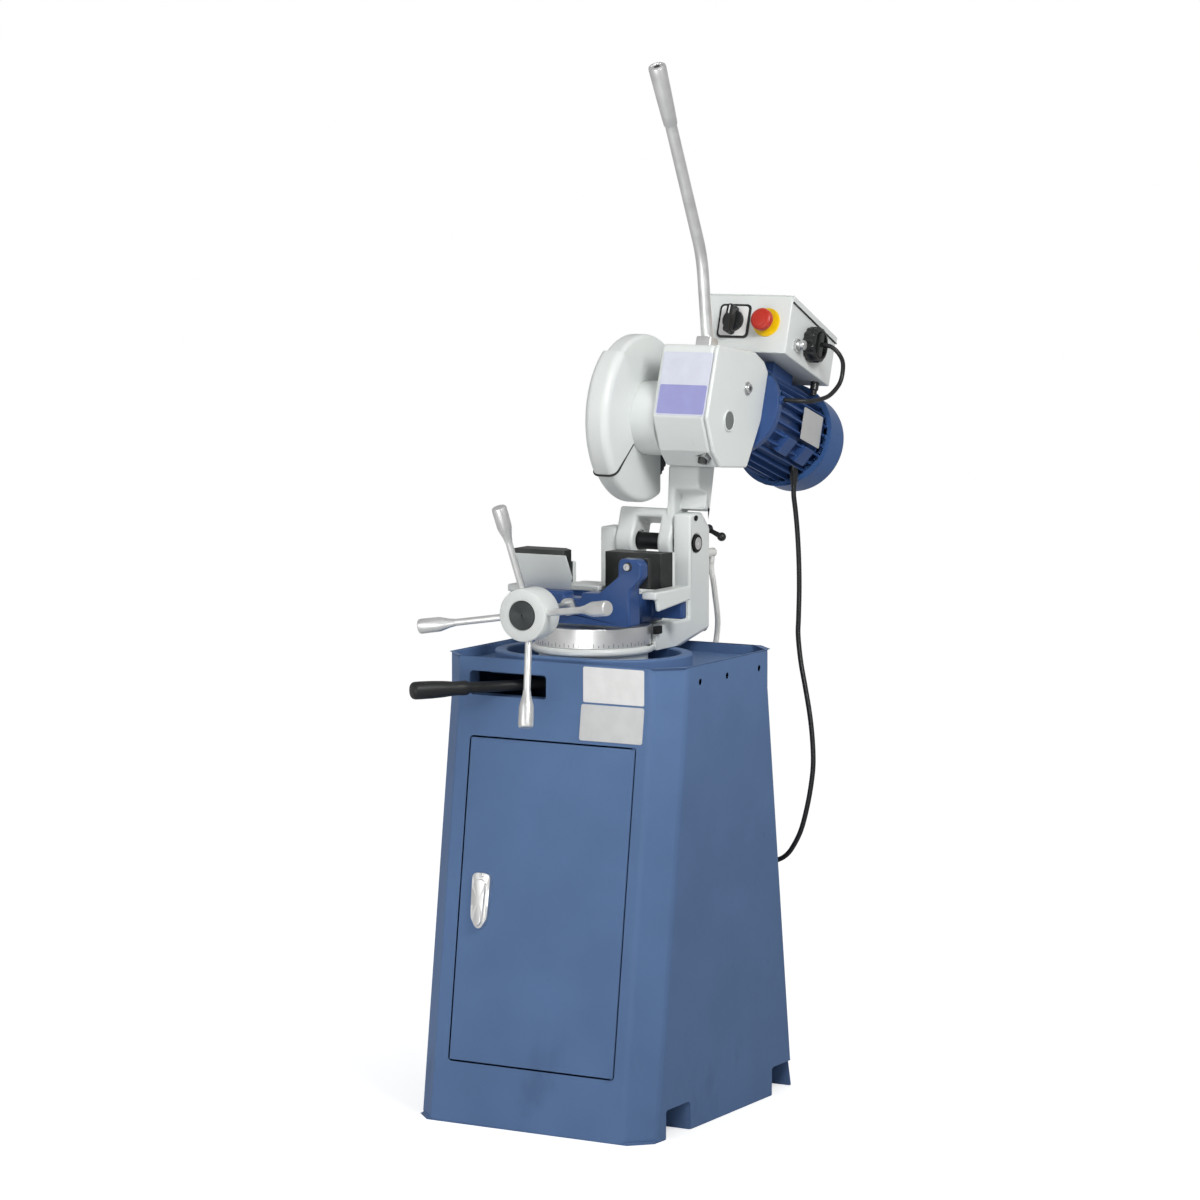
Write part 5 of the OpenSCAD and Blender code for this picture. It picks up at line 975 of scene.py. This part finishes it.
strip_path = ARBOR + section[:, :1] * X_WAY + section[:, 1:] * edge_way
strip_r = np.where(section[:, 1] > THICK_FROM, THICK_R, THIN_R)
add_piece("guard_strip", [drawn(strip_path, strip_r, sides=12)], black_rubber, "front_guard")

# %% [markdown]
# ## The swivel marks
# The swivel scale has a mark every five degrees, longer at every tenth, on the ring's side. The
# row stops short of the column's foot, which would run over it. The marks are small raised bars,
# so they stay with the ring from any side.

# %% Swivel marks
MARK_STEP, FIRST_MARK, LAST_MARK = 5, -8, 18
LONG_MARK, SHORT_MARK, MARK_WIDE, MARK_CORNER, MARK_THICK, MARK_EDGE = 7, 4, 0.9, 0.3, 0.45, 0.1
MARK_FOOT, MARK_SUNK = 2, 0.2
ring_low, ring_high = (np.array(c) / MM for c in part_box("scale_ring"))
ring_mid, ring_r = (ring_low + ring_high) / 2, (ring_high[0] - ring_low[0]) / 2
marks = []
for step in range(FIRST_MARK, LAST_MARK + 1):
    a = math.radians(MARK_STEP * step)
    away = np.array((math.sin(a), -math.cos(a), 0))
    along = np.array((math.cos(a), math.sin(a), 0))
    tall = LONG_MARK if step % 2 == 0 else SHORT_MARK
    spot = ring_mid + (ring_r - MARK_SUNK) * away
    spot[2] = ring_low[2] + MARK_FOOT + tall / 2
    marks.append(plate(MARK_WIDE, tall, MARK_CORNER, MARK_THICK, MARK_EDGE, spot, along, Z_WAY))
add_piece("swivel_marks", marks, glass_grey, body_of["scale_ring"])
print("swivel marks:", len(marks))

# %% [markdown]
# ## Background and light
# The photograph is cut out on white, with soft light from the upper left of the camera. A large
# lamp gives that side, a low one in front lights what faces down, a small one high on the right
# lifts the head, and the world gives the rest. The white behind the object is seen by the camera
# only, so it adds no light, and metal mirrors a dimmer room with bright lamps.

# %% World
AMBIENT = 0.46
world = bpy.data.worlds.new("studio")
bpy.context.scene.world = world
world.use_nodes = True
sky = world.node_tree
background = sky.nodes["Background"]
rays = sky.nodes.new("ShaderNodeLightPath")
level = sky.nodes.new("ShaderNodeMapRange")
level.inputs["To Min"].default_value, level.inputs["To Max"].default_value = AMBIENT, 1.0
sky.links.new(rays.outputs["Is Camera Ray"], level.inputs["Value"])
sky.links.new(level.outputs[0], background.inputs["Strength"])
background.inputs["Color"].default_value = (1, 1, 1, 1)
bpy.context.scene.view_settings.view_transform = "Standard"
print("ambient light:", AMBIENT)


# %% Lamps
def lamp(name, place, target, width, watts, spread):
    """A round area lamp that faces `target`, with its beam kept within `spread` degrees. Places
    and width are in metres."""
    data = bpy.data.lights.new(name, "AREA")
    data.shape, data.size, data.energy, data.spread = "DISK", width, watts, math.radians(spread)
    made = bpy.data.objects.new(name, data)
    made.location = place
    way = np.array(place) - np.array(target)
    made.rotation_euler = (math.acos(way[2] / np.linalg.norm(way)), 0,
                           math.atan2(way[1], way[0]) + math.pi / 2)
    bpy.context.scene.collection.objects.link(made)
    print(f"{name} lamp: {watts} W")


lamp("key", (-1.3, -4.4, 2.1), AIM * MM, width=2.2, watts=30, spread=180)
lamp("low", (0.8, -3.8, 0.15), (0.1, 0.05, 1.1), width=1.6, watts=38, spread=180)
lamp("fill", (1.7, -1.0, 2.3), (0.1, 0.05, 1.2), width=0.9, watts=6, spread=70)

# %% [markdown]
# ## The floor
# The floor is plain and pale. It glows for the camera by what the ambient light doesn't give, so
# it meets the white behind it without a line, and only the soft shadow by the stand shows.

# %% Floor
FLOOR, FLOOR_TONE = 9.0, 0.9    # half its width, in metres, and its grey
corners = [(-FLOOR, -FLOOR, 0), (FLOOR, -FLOOR, 0), (FLOOR, FLOOR, 0), (-FLOOR, FLOOR, 0)]
floor_mesh = bpy.data.meshes.new("floor")
floor_mesh.from_pydata(corners, [], [(0, 1, 2, 3)])
floor = bpy.data.objects.new("floor", floor_mesh)
bpy.context.scene.collection.objects.link(floor)
ground = Finish("floor_white")
seen_by_camera = ground.node("LightPath", out="Is Camera Ray")
ground.set(Base_Color=(FLOOR_TONE, FLOOR_TONE, FLOOR_TONE, 1), Roughness=0.9,
           Specular_IOR_Level=0.0, Emission_Color=seen_by_camera,
           Emission_Strength=1 - FLOOR_TONE * AMBIENT)
floor_mesh.materials.append(ground.material)
print("floor:", 2 * FLOOR, "m wide")
